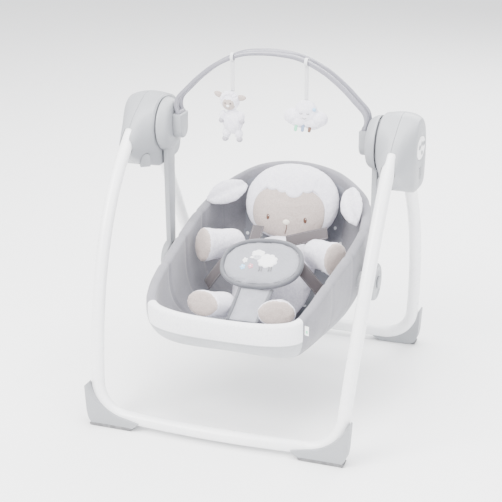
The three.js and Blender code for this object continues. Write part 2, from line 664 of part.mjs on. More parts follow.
// drive: a motor pinion turns a toothed sector on the right-hand axle
const MODULE = 1.5;
const SECTOR_TEETH = 34;
const PINION_TEETH = 10;
const GEAR_X = HOUSING_IN + 13;
const GEAR_T = 6;
const centreDistance = (MODULE * (SECTOR_TEETH + PINION_TEETH)) / 2;
function gearOutline(teeth, cy, cz, startsWithTooth, downOnly) {
  const r = (MODULE * teeth) / 2;
  const points = [];
  for (let i = 0; i < teeth; i++) {
    const middle = ((i + (startsWithTooth ? 0 : 0.5)) / teeth) * 2 * Math.PI - Math.PI / 2;
    const away = Math.abs(Math.atan2(Math.sin(middle + Math.PI / 2), Math.cos(middle + Math.PI / 2)));
    const low = r - 1.3 * MODULE;
    const high = r + 0.75 * MODULE;
    const w = (2 * Math.PI) / teeth;
    const tooth = [[-0.5, low], [-0.25, low], [-0.11, high], [0.11, high], [0.25, low]];
    for (const [k, q] of downOnly && away > 0.75 ? [[0, r * 0.6]] : tooth) {
      points.push([cy + q * Math.cos(middle + k * w), cz + q * Math.sin(middle + k * w)]);
    }
  }
  return points;
}
const sector = cut(
  join(
    plateX(gearOutline(SECTOR_TEETH, 0, AXIS_Z, true, true), GEAR_X, GEAR_X + GEAR_T),
    cylinderX(10, GEAR_X - 3, GEAR_X + GEAR_T + 3, 0, AXIS_Z),
  ),
  cylinderX(AXLE_R + GAP, GEAR_X - 9, GEAR_X + GEAR_T + 9, 0, AXIS_Z),
);
add("drive_sector", geometryOf(sector), PANEL);
const MOTOR_Z = AXIS_Z - centreDistance;
const pinionTurn = gearOutline(PINION_TEETH, 0, MOTOR_Z, false, false).map(([y, z]) => [
  -y, 2 * MOTOR_Z - z,
]);
const pinion = join(
  plateX(pinionTurn, GEAR_X - 0.5, GEAR_X + GEAR_T + 0.5),
  cylinderX(1.5, GEAR_X, GEAR_X + GEAR_T + 5, 0, MOTOR_Z, 12),
);
add("motor_pinion", geometryOf(pinion), PANEL);
const motor = cut(
  cylinderX(12, GEAR_X + GEAR_T + 3.5, HOUSING_OUT - 18, 0, MOTOR_Z, 28),
  cylinderX(1.5 + GAP, GEAR_X + GEAR_T, GEAR_X + GEAR_T + 7, 0, MOTOR_Z, 12),
);
add("drive_motor", geometryOf(motor), STEEL);

// ---------- swing hubs, arms and toy bar clips ----------
function hubCover() {
  const outline = [
    [0, HUB_IN], [HUB_FACE_R - 5, HUB_IN], [HUB_FACE_R, HUB_IN + 2], [HUB_FACE_R + 3.5, HUB_IN + 8],
    [HUB_R, HUB_IN + 16], [HUB_R, HUB_OUT], [HUB_R - HUB_WALL, HUB_OUT],
    [HUB_R - HUB_WALL, ARM_IN - GAP], [0, ARM_IN - GAP],
  ];
  const g = new THREE.LatheGeometry(outline.map(([r, x]) => new THREE.Vector2(r, x)), 36);
  g.rotateZ(-Math.PI / 2).translate(0, 0, AXIS_Z);
  const slot = box(
    ARM_IN - GAP, HUB_OUT + 2, -ARM_TOP_W / 2 - RUN, ARM_TOP_W / 2 + RUN, AXIS_Z - HUB_R - 16, AXIS_Z,
  );
  return cut(solid(g), slot);
}
function arm() {
  const h = ARM_LENGTH;
  const bar = plateX(
    [
      [-ARM_TOP_W / 2, AXIS_Z], [-ARM_LOW_W / 2, AXIS_Z - h], [ARM_LOW_W / 2, AXIS_Z - h],
      [ARM_TOP_W / 2, AXIS_Z],
    ],
    ARM_IN, ARM_OUT,
  );
  const top = cylinderX(ARM_TOP_R, ARM_IN, ARM_OUT, 0, AXIS_Z, 32);
  const low = cylinderX(JOINT_R, JOINT_IN, JOINT_OUT, PIVOT_Y, PIVOT_Z, 36);
  return cut(
    join(bar, top, low),
    cylinderX(AXLE_R + GAP, ARM_IN - 5, ARM_OUT + 9, 0, AXIS_Z, 32),
    cylinderX(PIVOT_PIN_R + 0.08, JOINT_IN - 5, JOINT_OUT + 5, PIVOT_Y, PIVOT_Z, 32),
  );
}
// A pocket that the toy bar's end drops into, with a round lower edge.
function clip() {
  const x1 = HUB_IN - GAP;
  const x0 = x1 - CLIP_T;
  const w = CLIP_W / 2;
  const s = [];
  for (let i = 0; i <= 12; i++) {
    const a = Math.PI + (Math.PI * i) / 12;
    s.push([BAR_Y + w * Math.cos(a), CLIP_LOW + w + w * Math.sin(a)]);
  }
  s.push([BAR_Y + w, CLIP_TOP], [BAR_Y - w, CLIP_TOP]);
  const room = box(
    x0 + 4, x0 + 4 + PLUG_T + 2 * RUN, BAR_Y - PLUG_W / 2 - RUN, BAR_Y + PLUG_W / 2 + RUN,
    CLIP_TOP - PLUG_DEPTH - RUN, CLIP_TOP + 5,
  );
  return cut(plateX(s, x0, x1), room);
}
const hub = hubCover();
for (const [name, s] of SIDES) {
  add(`${name}_hub_cover`, side(geometryOf(hub), s), GREY_PLASTIC);
  add(`${name}_swing_arm`, side(geometryOf(arm()), s), GREY_PLASTIC);
  add(`${name}_toy_bar_clip`, side(geometryOf(clip()), s), GREY_PLASTIC);
}

// ---------- toy bar ----------
const PLUG_X = HUB_IN - GAP - CLIP_T + 4 + RUN + PLUG_T / 2;
// The arch's middle line on the right, as shares of the plugs' x and of the rise.
const ARCH = [
  [1, 0.235], [0.91, 0.375], [0.755, 0.588], [0.559, 0.794], [0.321, 0.949], [0.103, 0.993],
];
// One rail from the left-hand plug over the arch to the right-hand plug.
function railCurve(y) {
  const right = [
    [PLUG_X, CLIP_TOP + 0.6], [PLUG_X + 4, CLIP_TOP + 14],
    ...ARCH.map(([a, b]) => [PLUG_X * a, CLIP_TOP + ARCH_RISE * b]),
  ];
  const left = [...right].reverse().map(([x, z]) => [-x, z]);
  return new THREE.CatmullRomCurve3(
    [...left.reverse(), ...[...right].reverse()].map(([x, z]) => V(x, y, z)),
    false,
    "centripetal",
  );
}
function toyBar() {
  let s = null;
  for (const y of [BAR_Y - RAIL_SPAN / 2, BAR_Y + RAIL_SPAN / 2]) {
    const rail = solid(sweep(railCurve(y), RAIL_R, RAIL_R, 34, 8));
    s = s ? s.add(rail) : rail;
  }
  for (const k of [-1, 1]) {
    const x = k * PLUG_X;
    s = s.add(box(
      x - PLUG_T / 2, x + PLUG_T / 2, BAR_Y - PLUG_W / 2, BAR_Y + PLUG_W / 2,
      CLIP_TOP - PLUG_DEPTH, CLIP_TOP + 3,
    ));
  }
  return s;
}
add("toy_bar", geometryOf(toyBar()), RAIL_PLASTIC);

// Hanging toys: a loop round the front rail, a strap, and a soft animal.
const RAIL_Y = BAR_Y - RAIL_SPAN / 2;
const RAIL_Z_AT_TOY = railCurve(RAIL_Y).getSpacedPoints(300).reduce((a, b) =>
  (Math.abs(b.x - TOY_X) < Math.abs(a.x - TOY_X) ? b : a)).z;
function loopAndStrap(x, length) {
  const ring = cut(
    cylinderX(RAIL_R + 4, x - 3, x + 3, RAIL_Y, RAIL_Z_AT_TOY, 16),
    cylinderX(RAIL_R + 2.2, x - 6, x + 6, RAIL_Y, RAIL_Z_AT_TOY, 16),
  );
  const top = RAIL_Z_AT_TOY - RAIL_R - 3;
  return join(ring, box(x - 4, x + 4, RAIL_Y - 1.2, RAIL_Y + 1.2, top - length, top));
}
// Grouped soft balls, as [x, y, z, rx, ry, rz] from the end of the strap.
const LAMB_TOY = [[-6, 0, -22, 23, 14, 25], [0, 1, -66, 26, 17, 28], [18, 0, -14, 13, 5, 6],
  [-30, 0, -16, 12, 5, 6], [15, -2, -92, 9, 9, 13], [-15, -2, -92, 9, 9, 13]];
const CLOUD_TOY = [[0, 0, -24, 27, 16, 27], [-28, 0, -36, 22, 13, 19], [28, 0, -38, 20, 13, 18],
  [0, 0, -48, 34, 13, 17]];
function toy(x, strap, balls) {
  let s = loopAndStrap(x, strap);
  const z = RAIL_Z_AT_TOY - RAIL_R - 3 - strap;
  for (const [bx, by, bz, rx, ry, rz] of balls) {
    s = s.add(solid(ball(x + bx, RAIL_Y + by, z + bz, rx, ry, rz, 12, 8)));
  }
  return geometryOf(s);
}
add("lamb_toy", toy(-TOY_X, 58, LAMB_TOY), PLUSH);
add("cloud_toy", toy(TOY_X, 64, CLOUD_TOY), PLUSH);

// ---------- seat ----------
const bossRoom = (grow) => [-1, 1].map((s) => {
  const from = SEAT_HALF_W - 34;
  const [a, b] = s > 0 ? [from, JOINT_IN - 1] : [-JOINT_IN + 1, -from];
  return cylinderX(17 + grow, a, b, PIVOT_Y, PIVOT_Z, 24);
});
const inside = solid(bowl([
  [0, -SHELL_T / 2], ...STEPS_T.map((t) => [t, -SHELL_T / 2]), [1, 0], [0, 160],
]));
const shellBody = solid(bowl(shellProfile));
const bosses = bossRoom(0).map((b) => cut(b, inside));
const pinHoles = [-1, 1].map((s) => {
  const from = SEAT_HALF_W - 44;
  const [a, b] = s > 0 ? [from, JOINT_OUT + 9] : [-JOINT_OUT - 9, -from];
  return cylinderX(PIVOT_PIN_R + GAP, a, b, PIVOT_Y, PIVOT_Z, 24);
});
add("seat_shell", geometryOf(biggest(cut(join(shellBody, ...bosses), ...pinHoles))), GREY_PLASTIC);
const innerLayer = STEPS_T.map((t) => [t, PAD_T]).reverse();
const coverBody = solid(bowl([...coverProfile, ...innerLayer, [0, PAD_T]]));
add("seat_cover", geometryOf(biggest(cut(coverBody, ...bossRoom(1)))), VELOUR);
for (const [name, s] of SIDES) {
  const pin = join(
    cylinderX(PIVOT_PIN_R, JOINT_IN - 21, JOINT_OUT + GAP + 1, PIVOT_Y, PIVOT_Z, 32),
    cylinderX(13, JOINT_OUT + GAP, JOINT_OUT + 4, PIVOT_Y, PIVOT_Z, 24),
  );
  add(`${name}_seat_pivot`, side(geometryOf(pin), s), GREY_PLASTIC);
}

// ---------- lamb support pillow and harness ----------
// Soft pieces in order: each is cut back from those before it, with a gap.
const soft = [];
function addSoft(name, s, material) {
  let rest = s;
  for (const other of soft) rest = rest.subtract(other);
  add(name, geometryOf(biggest(rest)), material);
  soft.push(grown(made[name], 0.8));
}
soft.push(grown(made.seat_cover, 0.5));
soft.push(grown(made.seat_shell, 0.5));
// Places are x for a seat of the usual width, y from the swing axis and z from the seat's pivot.
const inSeat = (g, x, y, z) => solid(g.translate(x * WIDEN, y, PIVOT_Z + z));
function tilted(rx, ry, rz, angle, x, y, z, nu = 20, nv = 12, turn = 0) {
  const g = ball(0, 0, 0, rx, ry, rz, nu, nv);
  return inSeat(g.rotateX(angle).rotateZ(turn), x, y, z);
}
const BACK_ANGLE = Math.PI / 3;
addSoft("lamb_head", tilted(110, 90, 46, BACK_ANGLE, 0, 148, 98), PLUSH);
addSoft("lamb_body", tilted(92, 112, 40, 0.72, 0, 24, -34, 18, 10), PLUSH);
function bean(x, y, z, ax, ay, az, r, l, nu = 14) {
  const g = new THREE.CapsuleGeometry(r, l, 6, nu);
  g.applyQuaternion(new THREE.Quaternion().setFromUnitVectors(V(0, 1, 0), V(ax, ay, az).normalize()));
  return inSeat(g, x, y, z);
}
for (const [name, s] of SIDES) {
  addSoft(`lamb_ear_${name}`, tilted(48, 32, 14, 0.9, s * 138, 130, 110, 16, 10, -s * 0.5), PLUSH);
  addSoft(`lamb_arm_${name}`, bean(s * 112, 16, 36, s * 0.85, -0.5, 0.15, 33, 46), PLUSH);
  addSoft(`lamb_leg_${name}`, bean(s * 66, -140, -34, s * 0.35, -0.9, 0.3, 29, 60), PLUSH);
}
function strapPlate(x, y, z, w, l, t, angle, turn = 0, roll = 0) {
  const g = new THREE.BoxGeometry(w, l, t);
  return inSeat(g.rotateY(roll).rotateX(angle).rotateZ(turn), x, y, z);
}
const pad = new THREE.CylinderGeometry(1, 1, 14, 32);
pad.rotateX(Math.PI / 2).scale(89, 56, 1);
pad.rotateX(0.78).rotateY(-0.1);
addSoft("tummy_pad", inSeat(pad, 0, -50, 28), VELOUR);
addSoft("crotch_pad", strapPlate(0, -126, -32, 70, 96, 9, 0.42), VELOUR);
addSoft("shoulder_strap_left", strapPlate(-44, 36, 50, 26, 60, 4, 0.72), WEBBING);
addSoft("shoulder_strap_right", strapPlate(62, 40, 52, 26, 84, 4, 0.62, -0.7), WEBBING);
for (const [name, s] of SIDES) {
  addSoft(`waist_strap_${name}`, strapPlate(s * 112, -34, -14, 26, 62, 4, 0.4, -s * 1.1, s * 0.5), WEBBING);
}

export default group;
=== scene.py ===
"""A folding portable baby swing with a lamb-shaped support pillow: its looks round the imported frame."""

import math

import bmesh
import bpy
import numpy as np
from mathutils import Matrix, Vector, noise
from mathutils.bvhtree import BVHTree


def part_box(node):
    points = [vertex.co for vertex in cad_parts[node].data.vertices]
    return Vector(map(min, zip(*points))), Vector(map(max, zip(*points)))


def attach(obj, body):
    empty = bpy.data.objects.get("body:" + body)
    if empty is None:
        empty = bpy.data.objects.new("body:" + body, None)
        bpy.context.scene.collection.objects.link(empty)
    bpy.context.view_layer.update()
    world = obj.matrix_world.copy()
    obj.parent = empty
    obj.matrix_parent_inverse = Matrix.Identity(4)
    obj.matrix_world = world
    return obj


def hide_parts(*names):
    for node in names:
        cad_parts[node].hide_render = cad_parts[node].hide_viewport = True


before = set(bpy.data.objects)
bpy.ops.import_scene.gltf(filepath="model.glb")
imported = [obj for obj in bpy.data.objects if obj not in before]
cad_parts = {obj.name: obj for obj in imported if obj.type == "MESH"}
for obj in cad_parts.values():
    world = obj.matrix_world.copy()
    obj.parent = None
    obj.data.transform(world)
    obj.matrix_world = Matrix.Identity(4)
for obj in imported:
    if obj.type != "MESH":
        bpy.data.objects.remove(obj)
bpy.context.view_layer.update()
MM = 0.001


def middle(node):
    low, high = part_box(node)
    return (low + high) / 2


AXLE = middle("left_axle")
AXIS_Z = AXLE.z / MM  # height of the swing axis, in millimetres
SHIFT = AXLE.y / MM  # where the swing axis is along Y


def at(x, y, z):
    """A point given in millimetres, with y counted from the swing axis."""
    return Vector((x, y + SHIFT, z)) * MM


# ---------------------------------------------------------------- camera, floor and light
def set_camera():
    data = bpy.data.cameras.new("camera")
    data.sensor_width = 36
    data.lens = 95.04
    data.clip_end = 50
    cam = bpy.data.objects.new("camera", data)
    bpy.context.scene.collection.objects.link(cam)
    forward = Vector((-0.31386, 0.88464, -0.34482))
    cam.location = at(815.2, -2412.2, 1213.3)
    cam.rotation_euler = forward.to_track_quat("-Z", "Y").to_euler()
    bpy.context.scene.camera = cam


def area_light(name, place, target, size, power, color=(1, 1, 1)):
    data = bpy.data.lights.new(name, "AREA")
    data.shape = "SQUARE"
    data.size = size
    data.energy = power
    data.color = color
    light = bpy.data.objects.new(name, data)
    bpy.context.scene.collection.objects.link(light)
    light.location = place
    light.rotation_euler = (Vector(target) - Vector(place)).to_track_quat("-Z", "Y").to_euler()


set_camera()
area_light("key", (-1.6, -2.4, 2.8), (0, 0, 0.3), 2.0, 280, (1, 0.99, 0.975))
area_light("fill", (2.6, -1.6, 1.6), (0, 0, 0.3), 2.4, 100, (0.97, 0.98, 1))
area_light("back", (0.4, 2.6, 2.4), (0, 0, 0.35), 2.2, 150)
area_light("top", (0, 0, 3.2), (0, 0, 0), 2.2, 200)
world = bpy.data.worlds.new("studio")
bpy.context.scene.world = world
world.use_nodes = True
world.node_tree.nodes["Background"].inputs["Color"].default_value = (0.93, 0.94, 0.96, 1)
world.node_tree.nodes["Background"].inputs["Strength"].default_value = 1.7


# ---------------------------------------------------------------- materials
class Value:
    """A number, or a node's output that carries one, with arithmetic that adds Math nodes."""

    def __init__(self, finish, link):
        self.finish = finish
        self.link = link

    def _math(self, operation, *values):
        node = self.finish.node("ShaderNodeMath", {"operation": operation}, dict(enumerate(values)))
        return self.finish.out(node, 0)

    def __add__(self, other):
        return self._math("ADD", self, other)

    def __sub__(self, other):
        return self._math("SUBTRACT", self, other)

    def __mul__(self, other):
        return self._math("MULTIPLY", self, other)

    def __truediv__(self, other):
        return self._math("DIVIDE", self, other)

    def __pow__(self, other):
        return self._math("POWER", self, other)

    def __mod__(self, other):
        return self._math("FLOORED_MODULO", self, other)

    def __gt__(self, other):
        return self._math("GREATER_THAN", self, other)

    def sin(self):
        return self._math("SINE", self)

    def ramp(self, low, high, to_low=0.0, to_high=1.0):
        """Rises smoothly from to_low at low to to_high at high."""
        node = self.finish.node(
            "ShaderNodeMapRange",
            {"interpolation_type": "SMOOTHSTEP"},
            {"Value": self, "From Min": low, "From Max": high, "To Min": to_low, "To Max": to_high},
        )
        return self.finish.out(node, "Result")


class Finish:
    """One procedural material."""

    def __init__(self, name, roughness=0.5, metallic=0.0, sheen=0.0, sheen_roughness=0.5, coat=0.0):
        self.material = bpy.data.materials.new(name)
        self.material.use_nodes = True
        self.tree = self.material.node_tree
        self.shader = next(n for n in self.tree.nodes if n.type == "BSDF_PRINCIPLED")
        self.set("Roughness", roughness)
        self.set("Metallic", metallic)
        self.set("Sheen Weight", sheen)
        self.set("Sheen Roughness", sheen_roughness)
        self.set("Coat Weight", coat)
        self.object_place = self.out(self.node("ShaderNodeTexCoord", {}, {}), "Object")

    def node(self, kind, settings, sockets):
        node = self.tree.nodes.new(kind)
        for key, value in settings.items():
            setattr(node, key, value)
        for key, value in sockets.items():
            if isinstance(value, Value):
                self.tree.links.new(value.link, node.inputs[key])
            else:
                node.inputs[key].default_value = value
        return node

    def out(self, node, key):
        return Value(self, node.outputs[key])

    def set(self, socket, value):
        if isinstance(value, Value):
            self.tree.links.new(value.link, self.shader.inputs[socket])
        else:
            self.shader.inputs[socket].default_value = value

    def noise(self, scale, detail=2.0, place=None, roughness=0.5, distortion=0.0):
        node = self.node("ShaderNodeTexNoise", {}, {
            "Vector": place or self.object_place, "Scale": scale, "Detail": detail,
            "Roughness": roughness, "Distortion": distortion})
        return self.out(node, "Fac")

    def cells(self, scale, place=None, feature="F1", randomness=1.0):
        node = self.node("ShaderNodeTexVoronoi", {"feature": feature}, {
            "Vector": place or self.object_place, "Scale": scale, "Randomness": randomness})
        return self.out(node, "Distance")

    def xyz(self, place=None):
        node = self.node("ShaderNodeSeparateXYZ", {}, {"Vector": place or self.object_place})
        return [self.out(node, k) for k in ("X", "Y", "Z")]

    def stretch(self, place, scale):
        node = self.node("ShaderNodeMapping", {}, {"Vector": place, "Scale": scale})
        return self.out(node, "Vector")

    def mix(self, a, b, factor):
        a, b = ((*c, 1) if isinstance(c, tuple) else c for c in (a, b))
        node = self.node("ShaderNodeMix", {"data_type": "RGBA"}, {0: factor, 6: a, 7: b})
        return self.out(node, 2)

    def relief(self, height, distance, strength=1.0, under=None):
        sockets = {"Height": height, "Distance": distance, "Strength": strength}
        if under:
            sockets["Normal"] = under
        node = self.node("ShaderNodeBump", {}, sockets)
        return self.out(node, "Normal")


def plastic(name, color, roughness=0.42, grain=0.00006, coat=0.0, shade=0.93):
    """Moulded plastic: fine spark-eroded grain, faint flow marks and a few rubbed places."""
    f = Finish(name, roughness, coat=coat)
    flow = f.noise(9, 3)
    f.set("Base Color", f.mix(tuple(c * shade for c in color), color, flow.ramp(0.35, 0.65)))
    rub = f.noise(38, 4, roughness=0.65)
    f.set("Roughness", rub.ramp(0.3, 0.75, roughness - 0.05, roughness + 0.09))
    grain_height = f.noise(2600, 2)
    f.set("Normal", f.relief(grain_height, grain, 0.6))
    return f.material


def painted_steel():
    f = Finish("white_powder_coat", 0.3, coat=0.25)
    tint = f.noise(6, 2)
    f.set("Base Color", f.mix((0.86, 0.865, 0.875), (0.9, 0.9, 0.905), tint.ramp(0.3, 0.7)))
    peel = f.noise(420, 2)
    wear = f.noise(30, 4, roughness=0.7)
    f.set("Roughness", wear.ramp(0.3, 0.8, 0.24, 0.4))
    f.set("Normal", f.relief(peel, 0.00012, 0.5))
    return f.material


def bare_steel():
    f = Finish("bare_steel", 0.3, metallic=1.0)
    brushed = f.noise(300, 3, f.stretch(f.object_place, (0.05, 1, 1)))
    f.set("Base Color", f.mix((0.5, 0.51, 0.53), (0.66, 0.67, 0.69), brushed.ramp(0.3, 0.7)))
    f.set("Roughness", brushed.ramp(0.3, 0.7, 0.22, 0.4))
    return f.material


def rubber():
    f = Finish("sole_rubber", 0.75)
    dust = f.noise(60, 4, roughness=0.7)
    f.set("Base Color", f.mix((0.13, 0.13, 0.135), (0.22, 0.22, 0.225), dust.ramp(0.4, 0.7)))
    f.set("Normal", f.relief(f.noise(1500, 2), 0.0001, 0.7))
    return f.material


WHITE_COAT = painted_steel()
GREY = plastic("grey_shell", (0.32, 0.33, 0.348))
GREY_DARK = plastic("grey_shell_deep", (0.24, 0.25, 0.262), 0.5)
FOOT_GREY = plastic("foot_grey", (0.3, 0.309, 0.325), 0.48, 0.00009)
RAIL_GREY = plastic("rail_grey", (0.23, 0.226, 0.262), 0.24, 0.00003, coat=0.3)
PANEL_WHITE = plastic("panel_white", (0.86, 0.86, 0.86), 0.3, 0.00003)
BLACK = plastic("black_plastic", (0.035, 0.036, 0.04), 0.55)
STEEL = bare_steel()
RUBBER = rubber()
CELL = plastic("battery_jacket", (0.2, 0.22, 0.26), 0.3)
BOARD = plastic("circuit_board_green", (0.05, 0.2, 0.09), 0.45)


def plain_floor():
    f = Finish("floor_white", 0.75)
    f.set("Base Color", (0.9, 0.9, 0.9, 1))
    return f.material


FLOOR = plain_floor()


# ---------------------------------------------------------------- mesh tools
def new_object(name, mesh, material=None):
    obj = bpy.data.objects.new(name, mesh)
    bpy.context.scene.collection.objects.link(obj)
    if material:
        mesh.materials.append(material)
    return obj


def mesh_of(name, points, faces, material, smooth=True):
    mesh = bpy.data.meshes.new(name)
    mesh.from_pydata([tuple(p) for p in points], [], faces)
    mesh.validate()
    for polygon in mesh.polygons:
        polygon.use_smooth = smooth
    return new_object(name, mesh, material)


def skin_faces(count, sides, closed_along=False):
    faces = []
    for r in range(count if closed_along else count - 1):
        for i in range(sides):
            a, b = r * sides + i, r * sides + (i + 1) % sides
            c, d = ((r + 1) % count) * sides + (i + 1) % sides, ((r + 1) % count) * sides + i
            faces.append((a, b, c, d))
    return faces


def lofted(name, rings, material, closed_along=False):
    """A skin through rings of equal length; flat ends close it. Its faces are turned outwards."""
    count, sides = len(rings), len(rings[0])
    points = [p for ring in rings for p in ring]
    faces = skin_faces(count, sides, closed_along)
    if not closed_along:
        faces.append(tuple(reversed(range(sides))))
        faces.append(tuple(range((count - 1) * sides, count * sides)))
    obj = mesh_of(name, points, faces, material)
    outward(obj)
    return obj


def outward(obj):
    bm = bmesh.new()
    bm.from_mesh(obj.data)
    bmesh.ops.remove_doubles(bm, verts=bm.verts, dist=1e-6)
    bmesh.ops.recalc_face_normals(bm, faces=bm.faces)
    if bm.calc_volume(signed=True) < 0:
        bmesh.ops.reverse_faces(bm, faces=bm.faces)
    bm.to_mesh(obj.data)
    bm.free()


def spline(points, count, closed=False):
    """Evenly spaced points on a smooth curve through the given ones, as an array."""
    p = np.array([tuple(q) for q in points], float)
    n = len(p)
    spans = n if closed else n - 1
    fine = []
    for s in range(spans):
        ids = [(s + k) % n if closed else min(max(s + k, 0), n - 1) for k in (-1, 0, 1, 2)]
        a, b, c, d = p[ids]
        for t in np.linspace(0, 1, 24, endpoint=False):
            fine.append(0.5 * (2 * b + (c - a) * t + (2 * a - 5 * b + 4 * c - d) * t * t
                               + (3 * b - a - 3 * c + d) * t ** 3))
    if not closed:
        fine.append(p[-1])
    fine = np.array(fine + ([fine[0]] if closed else []))
    run = np.concatenate([[0], np.cumsum(np.linalg.norm(np.diff(fine, axis=0), axis=1))])
    where = np.linspace(0, run[-1], count, endpoint=not closed)
    return np.stack([np.interp(where, run, fine[:, k]) for k in range(fine.shape[1])], 1)


def sections_along(path, section, up=Vector((0, 0, 1))):
    """Copies of a flat [across, up] section along a path, kept from twisting."""
    path = [Vector(p) for p in path]
    rings = []
    side = None
    for i, p in enumerate(path):
        ahead = (path[min(i + 1, len(path) - 1)] - path[max(i - 1, 0)]).normalized()
        if side is None:
            side = ahead.cross(up if abs(ahead.dot(up)) < 0.9 else Vector((0, 1, 0))).normalized()
        side = (side - ahead * side.dot(ahead)).normalized()
        top = side.cross(ahead)
        rings.append([p + side * a + top * b for a, b in section])
    return rings


def circle(radius, count, squeeze=1.0):
    turn = [2 * math.pi * i / count for i in range(count)]
    return [(radius * math.cos(a), radius * squeeze * math.sin(a)) for a in turn]


def rod(name, path, radius, material, sides=20, squeeze=1.0, round_ends=True):
    """A round bar along a path, with rounded ends."""
    path = [Vector(p) for p in path]
    rings = sections_along(path, circle(radius, sides, squeeze))
    if round_ends:
        for at_start in (True, False):
            ring = rings[0] if at_start else rings[-1]
            tip = path[0] if at_start else path[-1]
            out = (path[0] - path[1] if at_start else path[-1] - path[-2]).normalized()
            for a in (0.35, 0.75, 1.15):
                k = math.cos(a)
                cap = [tip + (q - tip) * k + out * radius * math.sin(a) for q in ring]
                if at_start:
                    rings.insert(0, cap)
                else:
                    rings.append(cap)
    return lofted(name, rings, material)


def turned(name, profile, centre, direction, material, sides=64):
    """A turned piece: [radius, height] along a direction from a centre, closed at both ends."""
    spin = Vector(direction).normalized().to_track_quat("Z", "Y").to_matrix()
    rings = []
    for radius, height in profile:
        rings.append([Vector(centre) + spin @ Vector((x, y, height * MM))
                      for x, y in circle(max(radius, 0.02) * MM, sides)])
    return lofted(name, rings, material)


def inset_ring(ring, distance):
    """A flat closed ring of 2-D points moved inwards by a distance."""
    p = np.array(ring, float)
    ahead = np.roll(p, -1, 0) - np.roll(p, 1, 0)
    ahead /= np.linalg.norm(ahead, axis=1)[:, None]
    area = 0.5 * np.sum(p[:, 0] * np.roll(p[:, 1], -1) - np.roll(p[:, 0], -1) * p[:, 1])
    sign = 1 if area > 0 else -1
    return p + sign * distance * np.stack([-ahead[:, 1], ahead[:, 0]], 1)


ROUND = [(1.0, 0.0), (0.62, 0.08), (0.29, 0.29), (0.08, 0.62), (0.0, 1.0)]  # a quarter round


def plate(name, outline, place, low, high, edge, material, edge_low=None):
    """A flat piece from a 2-D outline, with rounded rims. place(u, v, h) gives each point."""
    edge_low = edge if edge_low is None else edge_low
    rings = []
    for inset, depth in ROUND:
        ring = inset_ring(outline, inset * edge_low)
        rings.append([place(u, v, low + depth * edge_low) for u, v in ring])
    for inset, depth in reversed(ROUND):
        ring = inset_ring(outline, inset * edge)
        rings.append([place(u, v, high - depth * edge) for u, v in ring])
    return sharpen(lofted(name, rings, material), 50)


def sharpen(obj, degrees):
    """Smooth faces, with edges sharper than this left crisp."""
    for polygon in obj.data.polygons:
        polygon.use_smooth = True
    obj.data.set_sharp_from_angle(angle=math.radians(degrees))
    return obj


def baked(obj):
    """The evaluated mesh put back on the object, with no modifiers left."""
    evaluated = obj.evaluated_get(bpy.context.evaluated_depsgraph_get())
    mesh = bpy.data.meshes.new_from_object(evaluated)
    obj.modifiers.clear()
    obj.data = mesh
    return obj


def carve(obj, tools, operation="DIFFERENCE"):
    for tool in tools:
        cut = obj.modifiers.new("cut", "BOOLEAN")
        cut.solver = "EXACT"
        cut.operation = operation
        cut.object = tool
        bpy.context.view_layer.update()
        baked(obj)
    for tool in tools:
        bpy.data.objects.remove(tool)
    return obj


def rounded(obj, width, segments=2, degrees=38):
    bevel = obj.modifiers.new("edges", "BEVEL")
    bevel.width = width * MM
    bevel.segments = segments
    bevel.limit_method = "ANGLE"
    bevel.angle_limit = math.radians(degrees)
    bevel.use_clamp_overlap = True
    return baked(obj)


def mirrored(obj, name):
    """A copy on the other side, with its faces turned outwards again."""
    mesh = obj.data.copy()
    mesh.transform(Matrix.Scale(-1, 4, Vector((1, 0, 0))))
    mesh.flip_normals()
    return new_object(name, mesh)


def joined(name, *objs):
    """One object from several, each keeping its materials."""
    bm = bmesh.new()
    materials = []
    for obj in objs:
        start = len(bm.faces)
        slots = list(obj.data.materials)
        bm.from_mesh(obj.data)
        bm.faces.ensure_lookup_table()
        for material in slots:
            if material not in materials:
                materials.append(material)
        for face in bm.faces[start:]:
            if slots:
                face.material_index = materials.index(slots[min(face.material_index, len(slots) - 1)])
        bpy.data.objects.remove(obj)
    mesh = bpy.data.meshes.new(name)
    bm.to_mesh(mesh)
    bm.free()
    for material in materials:
        mesh.materials.append(material)
    return new_object(name, mesh)


def placed(obj, body, slot, *nodes):
    """Rides on a body and stands for CAD nodes; slot is not used."""
    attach(obj, body)
    if nodes:
        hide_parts(*nodes)
    return obj


floor = mesh_of("floor", [(-9, -9, 0), (9, -9, 0), (9, 9, 0), (-9, 9, 0)], [(0, 1, 2, 3)], FLOOR)


# ---------------------------------------------------------------- leg tubes
TUBE_R, TUBE_WALL = 12.7, 1.5
LEG_X, FOOT_X, BAR_Z, CORNER_R = 266, 249, 21, 68
FOLD_Y, FOLD_Z = 42, AXIS_Z - 30
FRONT_BAR_Y, REAR_BAR_Y = -313, 255


def bezier(points, count):
    p = [np.array(q, float) for q in points]
    found = []
    for t in np.linspace(0, 1, count, endpoint=False):
        row = p
        while len(row) > 1:
            row = [a + (b - a) * t for a, b in zip(row, row[1:])]
        found.append(row[0])
    return found


